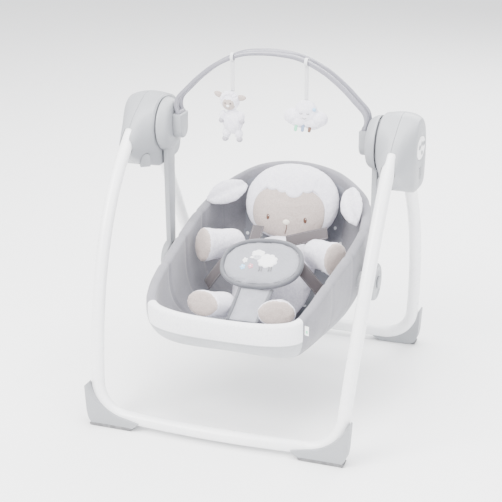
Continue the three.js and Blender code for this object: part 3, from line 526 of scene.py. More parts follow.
def leg_path(top, leave, bulge, foot_y, bow):
    """One U-shaped leg: down one side, along the floor and up the other, in millimetres."""
    way = math.copysign(1, foot_y)
    knee = (FOOT_X, foot_y - way * 9, BAR_Z + CORNER_R)
    bar = (FOOT_X - CORNER_R, foot_y + way * bow * 0.16, BAR_Z)
    half = bezier([top, leave], 4) + bezier([leave, bulge, knee], 24)
    half += bezier([knee, (FOOT_X - 1, foot_y - way * 2, BAR_Z + CORNER_R * 0.42),
                    (FOOT_X - CORNER_R * 0.42, foot_y + way, BAR_Z), bar], 16)
    half += bezier([bar, ((FOOT_X - CORNER_R) / 2, foot_y + way * bow, BAR_Z),
                    (0, foot_y + way * bow, BAR_Z)], 12)
    half.append(np.array([0, foot_y + way * bow, BAR_Z]))
    other = [p * np.array([-1, 1, 1]) for p in half[-2::-1]]
    return half + other


def leg_tube(name, points):
    """An open-ended tube with a real wall."""
    path = [at(*p) for p in points]
    outer = sections_along(path, circle(TUBE_R * MM, 36))
    inner = sections_along(path, circle((TUBE_R - TUBE_WALL) * MM, 36))
    return lofted(name, outer + inner[::-1], WHITE_COAT, closed_along=True)


FRONT_POINTS = leg_path((LEG_X, -80, AXIS_Z - 2), (LEG_X, -105, AXIS_Z - 26),
                        (LEG_X + 5, -252, AXIS_Z - 168), FRONT_BAR_Y, 12)
REAR_POINTS = leg_path((LEG_X, FOLD_Y - 6.4, FOLD_Z + 12.4), (LEG_X, FOLD_Y + 28, AXIS_Z - 84),
                       (LEG_X + 6, 176, 300), REAR_BAR_Y, 4)
placed(leg_tube("front_leg", FRONT_POINTS), "base", "white_tube", "front_leg_tube")
placed(leg_tube("rear_leg", REAR_POINTS), "rear_leg", "white_tube", "rear_leg_tube")


# ---------------------------------------------------------------- feet
FOOT_TOP, FOOT_INNER, SOLE = 84, 154, 7


def foot_outline():
    outer = FOOT_X + TUBE_R + 4.5
    half = [(FOOT_INNER + 26, 0.4), (outer - 30, 0.4)]
    half += [tuple(p) for p in bezier([(outer - 30, 0.4), (outer - 6, 0.6), (outer - 4, 27)], 9)][1:]
    half += [(outer - 3, 32), (outer - 1.5, 56), (outer, FOOT_TOP - 2)]
    half += [tuple(p) for p in bezier([(outer - 2.5, FOOT_TOP), (outer - 30, 32),
                                       (FOOT_INNER + 36, 24)], 16)]
    half += [(FOOT_INNER + 36, 24), (FOOT_INNER + 12, 20)]
    half += [tuple(p) for p in bezier([(FOOT_INNER, 17), (FOOT_INNER + 7, 6),
                                       (FOOT_INNER + 26, 0.4)], 7)][:-1]
    return half


def foot(name, way, side):
    foot_y = FRONT_BAR_Y if way < 0 else REAR_BAR_Y
    face = foot_y + way * (TUBE_R + 7.5)
    back = foot_y - way * 6
    place = lambda u, v, h: at(side * u, face - way * h, v)
    shoe = plate(name, foot_outline(), place, 0, abs(face - back), 0.9, FOOT_GREY)
    sole_line = [(FOOT_INNER + 22, 0), (FOOT_X + 2, 0), (FOOT_X + 6, 3), (FOOT_X + 2, SOLE),
                 (FOOT_INNER + 20, SOLE), (FOOT_INNER + 16, 4)]
    sole_ring = [tuple(p) for p in spline(sole_line, 40, closed=True)]
    sole_ring = [(u, max(v, 0.05)) for u, v in sole_ring]
    pad = plate(name + "_sole", sole_ring, lambda u, v, h: at(side * u, face + way * 0.3 - way * h, v),
                0, abs(face - back) - 3, 0.9, RUBBER)
    return joined(name, shoe, pad)


for end, way in (("front", -1), ("rear", 1)):
    for word, side in (("left", -1), ("right", 1)):
        placed(foot(f"{end}_foot_{word}", way, side), "base" if way < 0 else "rear_leg",
               "foot_plastic", f"foot_{end}_{word}")


# ---------------------------------------------------------------- housings
HOUSING_IN, HOUSING_OUT, PARTING = 228, 303, 266
OUTLINE_IN = [(0, 57), (-20, 53), (-40, 40), (-52, 22), (-57, 0), (-53, -22), (-40, -42), (-28, -54),
              (-24, -70), (-24, -84), (20, -84), (62, -83), (80, -74), (88, -55), (92, -28), (90, 0),
              (80, 26), (60, 44), (30, 54)]
OUTLINE_MID = [(0, 60), (-26, 50), (-50, 36), (-72, 22), (-92, 4), (-110, -14), (-117, -28),
               (-104, -44), (-84, -58), (-48, -78), (12, -84), (60, -82), (82, -72), (94, -54),
               (99, -28), (97, 2), (86, 30), (62, 48), (30, 58)]
OUTLINE_OUT = [(2, 52), (-14, 48), (-28, 36), (-36, 20), (-40, 2), (-40, -18), (-42, -38), (-46, -58),
               (-46, -74), (-30, -84), (2, -87), (30, -86), (46, -76), (52, -54), (54, -28), (53, -2),
               (47, 22), (36, 40), (20, 50)]
STATIONS = [(228, 1, 0), (237, 0.7, 0), (250, 0.2, 0), (262, 0, 0), (280, 0, 0.14), (292, 0, 0.5),
            (300, 0, 0.9), (303, 0, 1)]  # x, share of the inner outline, share of the outer one


def housing_rings(wall, x_low, x_high, count=26):
    """Rings of the housing's skin, moved in by a wall, from x_low to x_high."""
    rows = []
    for x, inner, outer in STATIONS:
        ring = (np.array(OUTLINE_IN) * inner + np.array(OUTLINE_OUT) * outer
                + np.array(OUTLINE_MID) * (1 - inner - outer))
        rows.append(spline(ring, 95, closed=True))
    xs = np.array([s[0] for s in STATIONS], float)
    rings = []
    for x in np.linspace(x_low, x_high, count):
        k = int(np.clip(np.searchsorted(xs, x) - 1, 0, len(xs) - 2))
        t = (x - xs[k]) / (xs[k + 1] - xs[k])
        a, b, c, d = (rows[int(np.clip(k + j, 0, len(xs) - 1))] for j in (-1, 0, 1, 2))
        ring = 0.5 * (2 * b + (c - a) * t + (2 * a - 5 * b + 4 * c - d) * t * t
                      + (3 * b - a - 3 * c + d) * t ** 3)
        edge = 3.2 * max(0, 1 - (x - x_low) / 3) ** 2 + 4 * max(0, 1 - (x_high - x) / 4) ** 2
        ring = inset_ring(ring, wall + (0 if wall else edge))
        rings.append([at(x, y, AXIS_Z + z) for y, z in ring])
    return rings


def box_between(low, high):
    x0, y0, z0 = low
    x1, y1, z1 = high
    rings = [[at(x, y0, z0), at(x, y1, z0), at(x, y1, z1), at(x, y0, z1)] for x in (x0, x1)]
    return lofted("tool", rings, None)


def cylinder_between(a, b, radius, sides=40):
    rings = sections_along([a, b], circle(radius * MM, sides))
    return lofted("tool", rings, None)


BUTTON_MID = (LEG_X - 20, -60, AXIS_Z - 62)
BUTTON_OUT = Vector((-0.62, -0.78, 0)).normalized()


def fold_button_shape(grow, low, high, edge, material, name="tool"):
    """The arched tab on the front of a housing, as a plate facing along BUTTON_OUT."""
    w, h = 10 + grow, 15 + grow
    outline = [(-w, -h), (w, -h)]
    outline += [(w * math.cos(a), h * 0.2 + w * math.sin(a)) for a in np.linspace(0, math.pi, 17)]
    across = Vector((-BUTTON_OUT.y, BUTTON_OUT.x, 0))
    centre = at(*BUTTON_MID)
    place = lambda u, v, d: centre + (across * u + Vector((0, 0, v)) + BUTTON_OUT * d) * MM
    return plate(name, outline, place, low, high, edge, material)


def fold_room():
    """The slot under a housing in which the rear leg turns when it folds."""
    r = TUBE_R + 2.5
    splay, far = math.radians(31), 110
    across, rise = math.cos(splay), math.sin(splay)
    y, z = FOLD_Y, FOLD_Z
    corners = [(y + r * across, z + r * rise), (y - r * across, z + r * rise),
               (y - r * across - far * rise, z - far * across),
               (y + r * across + far * rise, z - far * across)]
    rings = [[at(x, *c) for c in corners] for x in (LEG_X - r, LEG_X + r)]
    return lofted("tool", rings, None)


def front_leg_room(grow):
    return rod("tool", [at(*p) for p in FRONT_POINTS[:9]], (TUBE_R + grow) * MM, None, 40,
               round_ends=False)


def housing_body():
    body = lofted("housing", housing_rings(0, HOUSING_IN, HOUSING_OUT), GREY)
    hollow = lofted("tool", housing_rings(3, HOUSING_IN + 2.6, HOUSING_OUT - 2.6), None)
    socket = cylinder_between(at(LEG_X, -70, AXIS_Z + 8), at(LEG_X, -104, AXIS_Z - 25), 17)
    carve(hollow, [socket])
    carve(body, [hollow, front_leg_room(1.1), fold_room(), fold_button_shape(0.9, -16, 30, 0.2, None),
                 cylinder_between(at(HOUSING_IN - 3, 0, AXIS_Z), at(HOUSING_IN + 8, 0, AXIS_Z), 10.4)])
    return body


def cut_at(obj, name, x, keep_low):
    """The part of a closed mesh on one side of a plane across X, with its cut filled."""
    copy = new_object(name, obj.data.copy())
    low, high = (HOUSING_IN - 20, x) if keep_low else (x, HOUSING_OUT + 20)
    half = box_between((low, -300, 200), (high, 300, 800))
    return carve(copy, [half], "INTERSECT")


def speaker_slots():
    tools = []
    for i in range(-2, 3):
        reach = 11 - abs(i) * 1.6
        z = AXIS_Z - 54 + i * 5
        tools.append(box_between((HOUSING_OUT - 8, 5 - reach, z - 1), (HOUSING_OUT + 6, 5 + reach, z + 1)))
    return tools


def oval(ry, rz, cy, cz, count=64):
    return [(cy + ry * a, cz + rz * b) for a, b in circle(1, count)]


DOOR = (-20, 24, -74, 34)


def door_outline(grow, corner=5, steps=6):
    y0, y1, z0, z1 = DOOR[0] - grow, DOOR[1] + grow, DOOR[2] - grow, DOOR[3] + grow
    points = []
    for cy, cz, turn in ((y1 - corner, z1 - corner, 0), (y0 + corner, z1 - corner, 90),
                         (y0 + corner, z0 + corner, 180), (y1 - corner, z0 + corner, 270)):
        for a in np.linspace(0, 90, steps):
            points.append((cy + corner * math.cos(math.radians(turn + a)),
                           cz + corner * math.sin(math.radians(turn + a))))
    return points


def along_x(side=1):
    """plate()'s place for outlines in [y, z], with its height along X on one side."""
    return lambda u, v, h: at(side * h, u, AXIS_Z + v)


housing = housing_body()
inner_half = cut_at(housing, "right_housing_inner_shell", PARTING - 0.35, True)
outer_half = cut_at(housing, "outer_shell", PARTING + 0.35, False)
right_outer = new_object("right_housing_outer_shell", outer_half.data.copy())
carve(right_outer, [plate("tool", oval(33.4, 23.4, 5, -4), along_x(), HOUSING_OUT - 2.2,
                          HOUSING_OUT + 6, 0.3, None), *speaker_slots()])
carve(outer_half, [plate("tool", door_outline(0.3), along_x(), HOUSING_OUT - 8, HOUSING_OUT + 6, 0.2, None)])
for shell in (inner_half, right_outer, outer_half):
    rounded(shell, 0.7)
    sharpen(shell, 30)
left_inner = mirrored(inner_half, "left_housing_inner_shell")
left_outer = mirrored(outer_half, "left_housing_outer_shell")
bpy.data.objects.remove(outer_half)
bpy.data.objects.remove(housing)
placed(inner_half, "base", "grey_plastic", "right_housing_inner")
placed(left_inner, "base", "grey_plastic", "left_housing_inner")
placed(right_outer, "base", "grey_plastic", "right_housing_outer")
placed(left_outer, "base", "grey_plastic", "left_housing_outer")

door = plate("battery_cover", door_outline(-0.35), along_x(-1), HOUSING_OUT - 2.6, HOUSING_OUT, 0.8, GREY)
grip = plate("battery_cover_grip", [(8 * a, 3 * b + DOOR[3] - 9) for a, b in circle(1, 32)],
             along_x(-1), HOUSING_OUT - 0.4, HOUSING_OUT + 0.9, 0.8, GREY_DARK)
placed(joined("battery_cover", door, grip), "battery_door", "grey_plastic", "battery_door")

for word, side in (("right", 1), ("left", -1)):
    tab = fold_button_shape(0, -6.5, 6.5, 2.2, GREY, f"{word}_fold_tab")
    if side < 0:
        flipped = mirrored(tab, "left_fold_tab_piece")
        bpy.data.objects.remove(tab)
        tab = flipped
    placed(tab, f"{word}_fold_button", "grey_plastic", f"{word}_fold_button")


# ---------------------------------------------------------------- control panel and its buttons
def strip(name, points, width, lift, material):
    """A thin raised line on the panel's face, through [y, z] points."""
    return rod(name, [at(HOUSING_OUT + lift, y, AXIS_Z + z) for y, z in points], width * MM, material, 8)


panel = plate("panel_oval", oval(32.6, 22.6, 5, -4), along_x(), HOUSING_OUT - 2, HOUSING_OUT + 0.6, 1.0,
              PANEL_WHITE)
BUTTONS = {"power": (-10, 0, 5), "speed": (8, 3, 5), "music": (26, 0, 5), "volume": (11, -15, 4.4)}
carve(panel, [cylinder_between(at(HOUSING_OUT - 1.7, y, AXIS_Z + z), at(HOUSING_OUT + 4, y, AXIS_Z + z),
                               r + 0.3) for y, z, r in BUTTONS.values()])
sharpen(panel, 50)
placed(panel, "base", "panel_white", "control_panel")


def symbol(kind, y, z, r):
    """A plain raised sign on a button, as points in [y, z]."""
    if kind == "power":
        turn = [math.radians(a) for a in range(125, 416, 15)]
        return [[(y + 0.5 * r * math.cos(a), z + 0.5 * r * math.sin(a)) for a in turn],
                [(y, z + 0.1 * r), (y, z + 0.62 * r)]]
    if kind == "music":
        return [[(y - 0.2 * r, z - 0.4 * r), (y - 0.2 * r, z + 0.45 * r), (y + 0.35 * r, z + 0.55 * r),
                 (y + 0.35 * r, z - 0.3 * r)]]
    if kind == "speed":
        return [[(y - 0.5 * r, z - 0.1 * r), (y - 0.15 * r, z + 0.25 * r), (y + 0.15 * r, z - 0.15 * r),
                 (y + 0.5 * r, z + 0.2 * r)]]
    return [[(y - 0.45 * r, z), (y + 0.45 * r, z)], [(y, z - 0.45 * r), (y, z + 0.45 * r)]]


for kind, (y, z, r) in BUTTONS.items():
    cap = turned(f"{kind}_cap", [(0, 0), (r, 0), (r, 1), (r - 0.3, 1.8), (r - 1.1, 2.2), (0, 2.35)],
                 at(HOUSING_OUT - 0.25, y, AXIS_Z + z), (1, 0, 0), GREY, 40)
    signs = [strip(f"{kind}_sign", line, 0.3, 2.05, GREY_DARK) for line in symbol(kind, y, z, r)]
    placed(joined(f"{kind}_key", cap, *signs), f"{kind}_button", "grey_plastic", f"{kind}_button")


# ---------------------------------------------------------------- swing hubs, arms and toy bar clips
PIVOT_Z = AXIS_Z - 288


def hub_cover(side):
    profile = [(0, 203), (36, 203), (41.5, 203.5), (45, 204.8), (47.5, 207), (49.6, 210), (51.6, 214),
               (53.2, 218.6), (54, 223), (53.7, 224.2), (52.6, 224.5), (51, 224.4), (51, 212.7), (0, 212.7)]
    cover = turned("hub", [(r, x - 203) for r, x in profile], at(side * 203, 0, AXIS_Z), (side, 0, 0),
                   GREY, 96)
    x0, x1 = sorted((side * 213.3, side * 230))
    carve(cover, [box_between((x0, -18.8, AXIS_Z - 75), (x1, 18.8, AXIS_Z - 20))])
    return sharpen(cover, 32)


def arm_bar(side):
    """The flat tapering arm: a disc under the hub, a bar, and the seat joint's disc."""
    z_top, z_low = AXIS_Z, PIVOT_Z
    right = [(18, z_top), (17.4, z_top - 60), (15.6, z_top - 150), (13.2, z_top - 235), (12, z_low + 20),
             (12, z_low)]
    outline = right + [(-y, z) for y, z in reversed(right)]
    bar = plate("bar", spline(outline[:6], 30).tolist() + spline(outline[6:], 30).tolist(),
                lambda u, v, h: at(side * h, u, v), 213, 224, 1.6, GREY)
    disc = turned("disc", [(0, 0), (45, 0), (46, 1), (46, 10), (45, 11), (0, 11)],
                  at(side * 213, 0, AXIS_Z), (side, 0, 0), GREY)
    knuckle = [(0, 0), (34.5, 0), (36.6, 0.6), (38, 2.4), (38.2, 8), (37.4, 12.4), (35.2, 14.8), (32, 15.6),
               (26, 15.9), (25, 15), (20, 14.7), (19, 15.6), (0, 15.9)]
    low = turned("low", knuckle, at(side * 213, 0, PIVOT_Z), (side, 0, 0), GREY, 80)
    return joined("arm", bar, disc, low)


def toy_bar_clip(side):
    w, cy = 21, 4
    outline = [(cy + w * math.cos(a), 521 + w * math.sin(a)) for a in np.linspace(math.pi, 2 * math.pi, 25)]
    outline += [(cy + w, 536), (cy + w, 551.9), (cy + w * 0.4, 552), (cy - w * 0.4, 552), (cy - w, 551.9),
                (cy - w, 536)]
    clip = plate("clip", outline, lambda u, v, h: at(side * (202.6 - h), u, v), 0, 18.4, 4.5, GREY,
                 edge_low=0.6)
    x0, x1 = sorted((side * 188.2, side * 198.6))
    carve(clip, [box_between((x0, cy - 17.6, 517), (x1, cy + 17.6, 570))])
    return sharpen(rounded(clip, 0.7), 32)


for word, side in (("left", -1), ("right", 1)):
    hub = hub_cover(side)
    hub.name = f"{word}_hub_dome"
    placed(hub, "swing", "grey_plastic", f"{word}_hub_cover")
    arm = arm_bar(side)
    arm.name = f"{word}_arm"
    placed(arm, "swing", "grey_plastic", f"{word}_swing_arm")
    clip = toy_bar_clip(side)
    clip.name = f"{word}_clip"
    placed(clip, "swing", "grey_plastic", f"{word}_toy_bar_clip")
    washer = turned(f"{word}_pivot_cap",
                    [(0, 0), (12.4, 0), (13, 0.7), (13, 2.4), (12.2, 3.4), (9, 4), (0, 4.3)],
                    at(side * 229.3, 0, PIVOT_Z), (side, 0, 0), GREY, 48)
    shaft = turned("shaft", [(0, 0), (6, 0), (6, 38), (0, 38)], at(side * 191.6, 0, PIVOT_Z), (side, 0, 0),
                   PANEL_WHITE, 40)
    collar = turned("collar", [(0, 0), (17, 0), (17, 14), (15.6, 16), (12, 16.6), (10, 20.2), (0, 20.2)],
                    at(side * 191.6, 0, PIVOT_Z), (side, 0, 0), PANEL_WHITE, 56)
    placed(joined(f"{word}_pivot", washer, shaft, collar), "seat", "grey_plastic", f"{word}_seat_pivot")


# ---------------------------------------------------------------- toy bar
PLUG_X = 193.35
RAIL_LINE = [(PLUG_X, 552.6), (PLUG_X + 4, 566), (PLUG_X, 584), (176, 603), (146, 632), (108, 660),
             (62, 681), (20, 687)]
RAIL_LINE = RAIL_LINE + [(-x, z) for x, z in reversed(RAIL_LINE)]


def rail(name, y):
    low = [(PLUG_X, 530), (PLUG_X, 545)]
    line = low + RAIL_LINE + [(-x, z) for x, z in reversed(low)]
    return rod(name, [at(x, y, z) for x, z in spline(line, 150)], 4.8 * MM, RAIL_GREY, 22)


rails = [rail("rail_front", -8), rail("rail_rear", 16)]
for side in (-1, 1):
    plug_line = [(-17, 518), (17, 518), (17, 556), (12, 558), (-12, 558), (-17, 556)]
    place = lambda u, v, h: at(side * (PLUG_X - 4.5 + h), 4 + u, v)
    rails.append(plate("plug", plug_line, place, 0, 9, 1.6, RAIL_GREY))
placed(joined("toy_bar_rails", *rails), "toy_bar", "rail_plastic", "toy_bar")

# ---------------------------------------------------------------- fabrics
def fabric(name, low, high, nap=0.0005, nap_scale=240, sheen=0.35, mottle=22, spread=0.12, rough=0.92):
    """Brushed cloth: a heather of light and dark fibres, soft nap tufts and broad rubbed places."""
    f = Finish(name, rough, sheen=sheen, sheen_roughness=0.45)
    fibres = f.noise(1500, 3, roughness=0.7)
    rubbed = f.noise(mottle, 4, roughness=0.6)
    tufts = f.noise(nap_scale, 3, roughness=0.6)
    shade = fibres.ramp(0.3, 0.7) * 0.4 + rubbed.ramp(0.35, 0.65) * 0.35 + tufts.ramp(0.3, 0.7) * 0.25
    f.base = f.mix(low, high, shade)
    f.set("Base Color", f.base)
    f.set("Normal", f.relief(tufts, nap, 0.7, f.relief(fibres, nap * spread, 0.6)))
    return f


def velour(name, tone):
    return fabric(name, tuple(c * 0.72 for c in tone), tone, 0.0006, 300, 0.3).material


def plush(name, low, high, curl=150):
    """Minky plush: short soft pile in small tufts, with painted shade darkening the valleys between tufts."""
    f = fabric(name, low, high, 0.0009, curl, 0.45, 14)
    # painted shade: towards the edge of each tuft cell the colour falls to the low tone, as if shaded in the
    # valleys between tufts
    tuft_valley_shade = f.cells(curl * 1.6)
    f.set("Base Color", f.mix(low, f.base, tuft_valley_shade.ramp(0.75, 0.25)))
    return f.material


def dotted_lining():
    """The middle panel's cloth: heathered, printed with small pale dots in staggered rows."""
    f = fabric("dotted_lining", (0.19, 0.195, 0.225), (0.28, 0.285, 0.32), 0.0003, 420)
    x, y, z = f.xyz()
    step, radius = 0.03, 0.0034
    run = y * 0.62 + z * 0.78
    row = (run / step) % 1.0 - 0.5
    odd = (run / (2 * step)) % 1.0 > 0.5
    along = (x / step + odd * 0.5) % 1.0 - 0.5
    away = (along * along + row * row) ** 0.5
    dot = away.ramp(radius / step * 1.12, radius / step * 0.88)
    f.set("Base Color", f.mix(f.base, (0.86, 0.87, 0.9), dot))
    return f.material


def webbing(name, tone):
    """Woven tape: fine ribs across its length, from its own UV map."""
    f = Finish(name, 0.85, sheen=0.15)
    place = f.out(f.node("ShaderNodeUVMap", {"uv_map": "tape"}, {}), "UV")
    u, v, _ = f.xyz(place)
    ribs = (v * (2 * math.pi / 0.0016)).sin()
    cross = (u * (2 * math.pi / 0.0011)).sin()
    weave = (ribs * 0.6 + cross * 0.4).ramp(-1, 1)
    fibres = f.noise(1800, 3)
    f.set("Base Color", f.mix(tuple(c * 0.7 for c in tone), tone, weave * 0.5 + fibres * 0.5))
    f.set("Normal", f.relief(weave, 0.0004, 0.8))
    return f.material


VELOUR = velour("heather_velour", (0.24, 0.236, 0.262))
VELOUR_LIGHT = velour("heather_velour_light", (0.36, 0.365, 0.402))
BAND = velour("band_cloth", (0.5, 0.512, 0.535))
PIPING = velour("piping_cloth", (0.16, 0.164, 0.182))
PLUSH = plush("white_minky", (0.72, 0.7, 0.78), (0.9, 0.89, 0.93))
PANEL_PLUSH = plush("white_panel_plush", (0.8, 0.8, 0.83), (0.93, 0.93, 0.94), 210)
BEIGE = plush("beige_short_pile", (0.42, 0.35, 0.32), (0.56, 0.48, 0.445), 260)
DOTTED = dotted_lining()
TAPE = webbing("harness_tape", (0.105, 0.09, 0.095))
TAPE_LIGHT = webbing("ribbon_tape", (0.78, 0.78, 0.8))
BROWN_THREAD = plastic("brown_thread", (0.12, 0.055, 0.035), 0.5, 0.0002)
CREAM_THREAD = plastic("cream_thread", (0.9, 0.84, 0.74), 0.6, 0.0002)
GREY_THREAD = plastic("grey_thread", (0.24, 0.24, 0.25), 0.6, 0.0002)
PALE_THREAD = plastic("pale_thread", (0.6, 0.6, 0.64), 0.6, 0.0001)
WHITE_THREAD = plastic("white_thread", (0.92, 0.92, 0.93), 0.6, 0.0002)
BLUE_THREAD = plastic("blue_thread", (0.35, 0.62, 0.86), 0.6, 0.0002)
PINK_THREAD = plastic("pink_thread", (0.62, 0.3, 0.36), 0.6, 0.0002)
GREEN_THREAD = plastic("green_thread", (0.2, 0.62, 0.38), 0.6, 0.0002)
SLATE_THREAD = plastic("slate_thread", (0.2, 0.27, 0.4), 0.6, 0.0002)


# ---------------------------------------------------------------- sewing tools
def stitch_tree():
    """Stitches along a curve: short rounded dashes laid at an even pitch on the cloth."""
    tree = bpy.data.node_groups.new("stitches", "GeometryNodeTree")
    face = tree.interface
    face.new_socket("Geometry", in_out="INPUT", socket_type="NodeSocketGeometry")
    for name, value in (("Pitch", 0.0036), ("Length", 0.0026), ("Thickness", 0.0005)):
        face.new_socket(name, in_out="INPUT", socket_type="NodeSocketFloat").default_value = value
    face.new_socket("Thread", in_out="INPUT", socket_type="NodeSocketMaterial")
    face.new_socket("Geometry", in_out="OUTPUT", socket_type="NodeSocketGeometry")
    kinds = {"start": "NodeGroupInput", "curve": "GeometryNodeMeshToCurve",
             "points": "GeometryNodeCurveToPoints", "thread": "GeometryNodeMeshUVSphere",
             "shape": "GeometryNodeTransform", "size": "ShaderNodeCombineXYZ",
             "lay": "GeometryNodeInstanceOnPoints", "real": "GeometryNodeRealizeInstances",
             "paint": "GeometryNodeSetMaterial", "end": "NodeGroupOutput"}
    n = {key: tree.nodes.new(kind) for key, kind in kinds.items()}
    n["points"].mode = "LENGTH"
    n["thread"].inputs["Segments"].default_value = 6
    n["thread"].inputs["Rings"].default_value = 5
    n["thread"].inputs["Radius"].default_value = 0.5
    wires = [("start", "Geometry", "curve", "Mesh"), ("curve", "Curve", "points", "Curve"),
             ("start", "Pitch", "points", "Length"), ("thread", "Mesh", "shape", "Geometry"),
             ("start", "Thickness", "size", "X"), ("start", "Thickness", "size", "Y"),
             ("start", "Length", "size", "Z"), ("size", "Vector", "shape", "Scale"),
             ("points", "Points", "lay", "Points"), ("shape", "Geometry", "lay", "Instance"),
             ("points", "Rotation", "lay", "Rotation"), ("lay", "Instances", "real", "Geometry"),
             ("real", "Geometry", "paint", "Geometry"), ("start", "Thread", "paint", "Material"),
             ("paint", "Geometry", "end", "Geometry")]
    for a, out, b, into in wires:
        tree.links.new(n[a].outputs[out], n[b].inputs[into])
    return tree


STITCHES = stitch_tree()


def sewn(name, lines, thread, pitch=3.6, length=2.6, thickness=0.7):
    """Rows of stitches along lines of points, as one plain mesh."""
    points, edges = [], []
    for line in lines:
        start = len(points)
        points += [tuple(p) for p in line]
        edges += [(i, i + 1) for i in range(start, len(points) - 1)]
    mesh = bpy.data.meshes.new(name)
    mesh.from_pydata(points, edges, [])
    guide = new_object(name + "_guide", mesh)
    nodes = guide.modifiers.new("stitches", "NODES")
    nodes.node_group = STITCHES
    values = {"Pitch": pitch * MM, "Length": length * MM, "Thickness": thickness * MM, "Thread": thread}
    for item in STITCHES.interface.items_tree:
        if item.in_out == "INPUT" and item.name in values:
            nodes[item.identifier] = values[item.name]
    bpy.context.view_layer.update()
    evaluated = guide.evaluated_get(bpy.context.evaluated_depsgraph_get())
    result = bpy.data.meshes.new_from_object(evaluated)
    result.name = name
    bpy.data.objects.remove(guide)
    for polygon in result.polygons:
        polygon.use_smooth = True
    return new_object(name, result)


def turn_matrix(tilt=0.0, turn=0.0, roll=0.0):
    return (Matrix.Rotation(turn, 3, "Z") @ Matrix.Rotation(tilt, 3, "X") @ Matrix.Rotation(roll, 3, "Y"))


def local(centre, matrix):
    """place(a, b, c) for a piece's own axes, in millimetres from its centre."""
    return lambda a, b, c: at(*(Vector(centre) + matrix @ Vector((a, b, c))))


def pillow(name, place, rx, ry, rz, material, sides=72, rows=16, corner=2.0, pinch=0.62, lift=None):
    """Two crowned faces sewn together round their edge. corner squares the outline."""
    rings = []
    reach = [math.sin(math.pi / 2 * (k + 0.35) / rows) for k in range(rows)]
    for face in (1, -1):
        found = []
        for r in reach:
            h = (1 - r * r) ** pinch
            ring = []
            for i in range(sides):
                a = 2 * math.pi * i / sides
                ca, sa = math.cos(a), math.sin(a)
                size = (abs(ca) ** corner + abs(sa) ** corner) ** (-1 / corner)
                u, v = rx * r * size * ca, ry * r * size * sa
                w = face * rz * h + (lift(u, v) if lift else 0)
                ring.append(place(u, v, w))
            found.append(ring)
        rings += found if face > 0 else found[::-1]
    return lofted(name, rings, material)


def stuffed(pieces, cap=6.0, voxel=4.5):
    """Fills closed cloth skins: a pressure simulation, with each point's travel capped."""
    scene = bpy.context.scene
    for obj in pieces:
        grid = obj.modifiers.new("grid", "REMESH")
        grid.mode = "VOXEL"
        grid.voxel_size = voxel * MM
        grid.use_smooth_shade = True
    bpy.context.view_layer.update()
    for obj in pieces:
        material = obj.data.materials[0]
        baked(obj)
        obj.data.materials.clear()
        obj.data.materials.append(material)
        cloth = obj.modifiers.new("stuffing", "CLOTH")
        settings = cloth.settings
        settings.quality = 4
        settings.mass = 0.25
        settings.use_pressure = True
        settings.uniform_pressure_force = 4
        settings.tension_stiffness = 12
        settings.bending_stiffness = 0.6
        settings.effector_weights.gravity = 0
        cloth.collision_settings.use_collision = False
        cloth.point_cache.frame_start = 1
        cloth.point_cache.frame_end = 20
    for step in range(1, 21):
        scene.frame_set(step)
    for obj in pieces:
        graph = bpy.context.evaluated_depsgraph_get()
        after = np.empty(len(obj.data.vertices) * 3)
        obj.evaluated_get(graph).data.vertices.foreach_get("co", after)
        before = np.empty_like(after)
        obj.data.vertices.foreach_get("co", before)
        move = (after - before).reshape(-1, 3)
        far = np.linalg.norm(move, axis=1)[:, None]
        move *= np.minimum(1, cap * MM / np.maximum(far, 1e-9))
        obj.modifiers.clear()
        obj.data.vertices.foreach_set("co", before + move.reshape(-1))
        obj.data.update()
    scene.frame_set(1)


def refined(obj, levels=1):
    smooth = obj.modifiers.new("fine", "SUBSURF")
    smooth.levels = smooth.render_levels = levels
    return baked(obj)


def tufted(obj, depth, size, seed=0):
    """Uneven pile: small moves along the normals, worked out from each point's place."""
    coords = [v.co + v.normal * (depth * MM * noise.noise(v.co / (size * MM) + Vector((seed, 0, 0))))
              for v in obj.data.vertices]
    for vertex, co in zip(obj.data.vertices, coords):
        vertex.co = co
    return obj


def repaint(obj, material, chosen):
    """Gives a second material to the faces whose middle passes a test."""
    obj.data.materials.append(material)
    index = len(obj.data.materials) - 1
    for polygon in obj.data.polygons:
        if chosen(polygon.center):
            polygon.material_index = index


# ---------------------------------------------------------------- seat bucket
RIM = [(0, -292, 240), (92, -290, 243), (146, -276, 252), (163, -238, 267), (171, -180, 281),
       (178, -95, 296), (184, -10, 311), (184, 70, 328), (168, 146, 352), (136, 178, 378),
       (80, 196, 404), (0, 203, 414)]
INSET, ROLL, SHELL_T, PAD_T = 0.985, 8, 4, 11
COLUMNS = 288
LOW_Y, LOW_Z = -10, PIVOT_Z - 112
rim_line = RIM + [(-x, y, z) for x, y, z in RIM[-2:0:-1]]
RIM_RING = spline([(x * INSET, y * INSET, z - ROLL) for x, y, z in rim_line], COLUMNS, closed=True)


def bucket_ring(t):
    """The bucket's reference surface at one height, from its bottom (0) to its rim (1)."""
    r = RIM_RING
    across = np.abs(r[:, 0]) / np.hypot(r[:, 0], r[:, 1] - LOW_Y)
    n = 2.3 + 1.3 * across ** 2
    c, d = math.sin(t * math.pi / 2), math.cos(t * math.pi / 2)
    size = (c ** n + d ** n) ** (1 / n)
    low = np.array([0, LOW_Y, LOW_Z])
    out = (c / size)[:, None]
    up = (1 - d / size)[:, None]
    return low + (r - low) * np.concatenate([out, out, up], axis=1)


def bucket_normals(t):
    ring = bucket_ring(t)
    around = np.roll(ring, -1, 0) - np.roll(ring, 1, 0)
    rise = bucket_ring(min(1, t + 0.01)) - bucket_ring(max(0.001, t - 0.01))
    n = -np.cross(around, rise)
    return n / np.linalg.norm(n, axis=1)[:, None]


def skin_ring(t, offset, lift=0.0):
    return bucket_ring(t) + bucket_normals(t) * np.reshape(offset, (-1, 1)) + np.array([0, 0, lift])


def as_points(ring):
    return [at(*p) for p in ring]


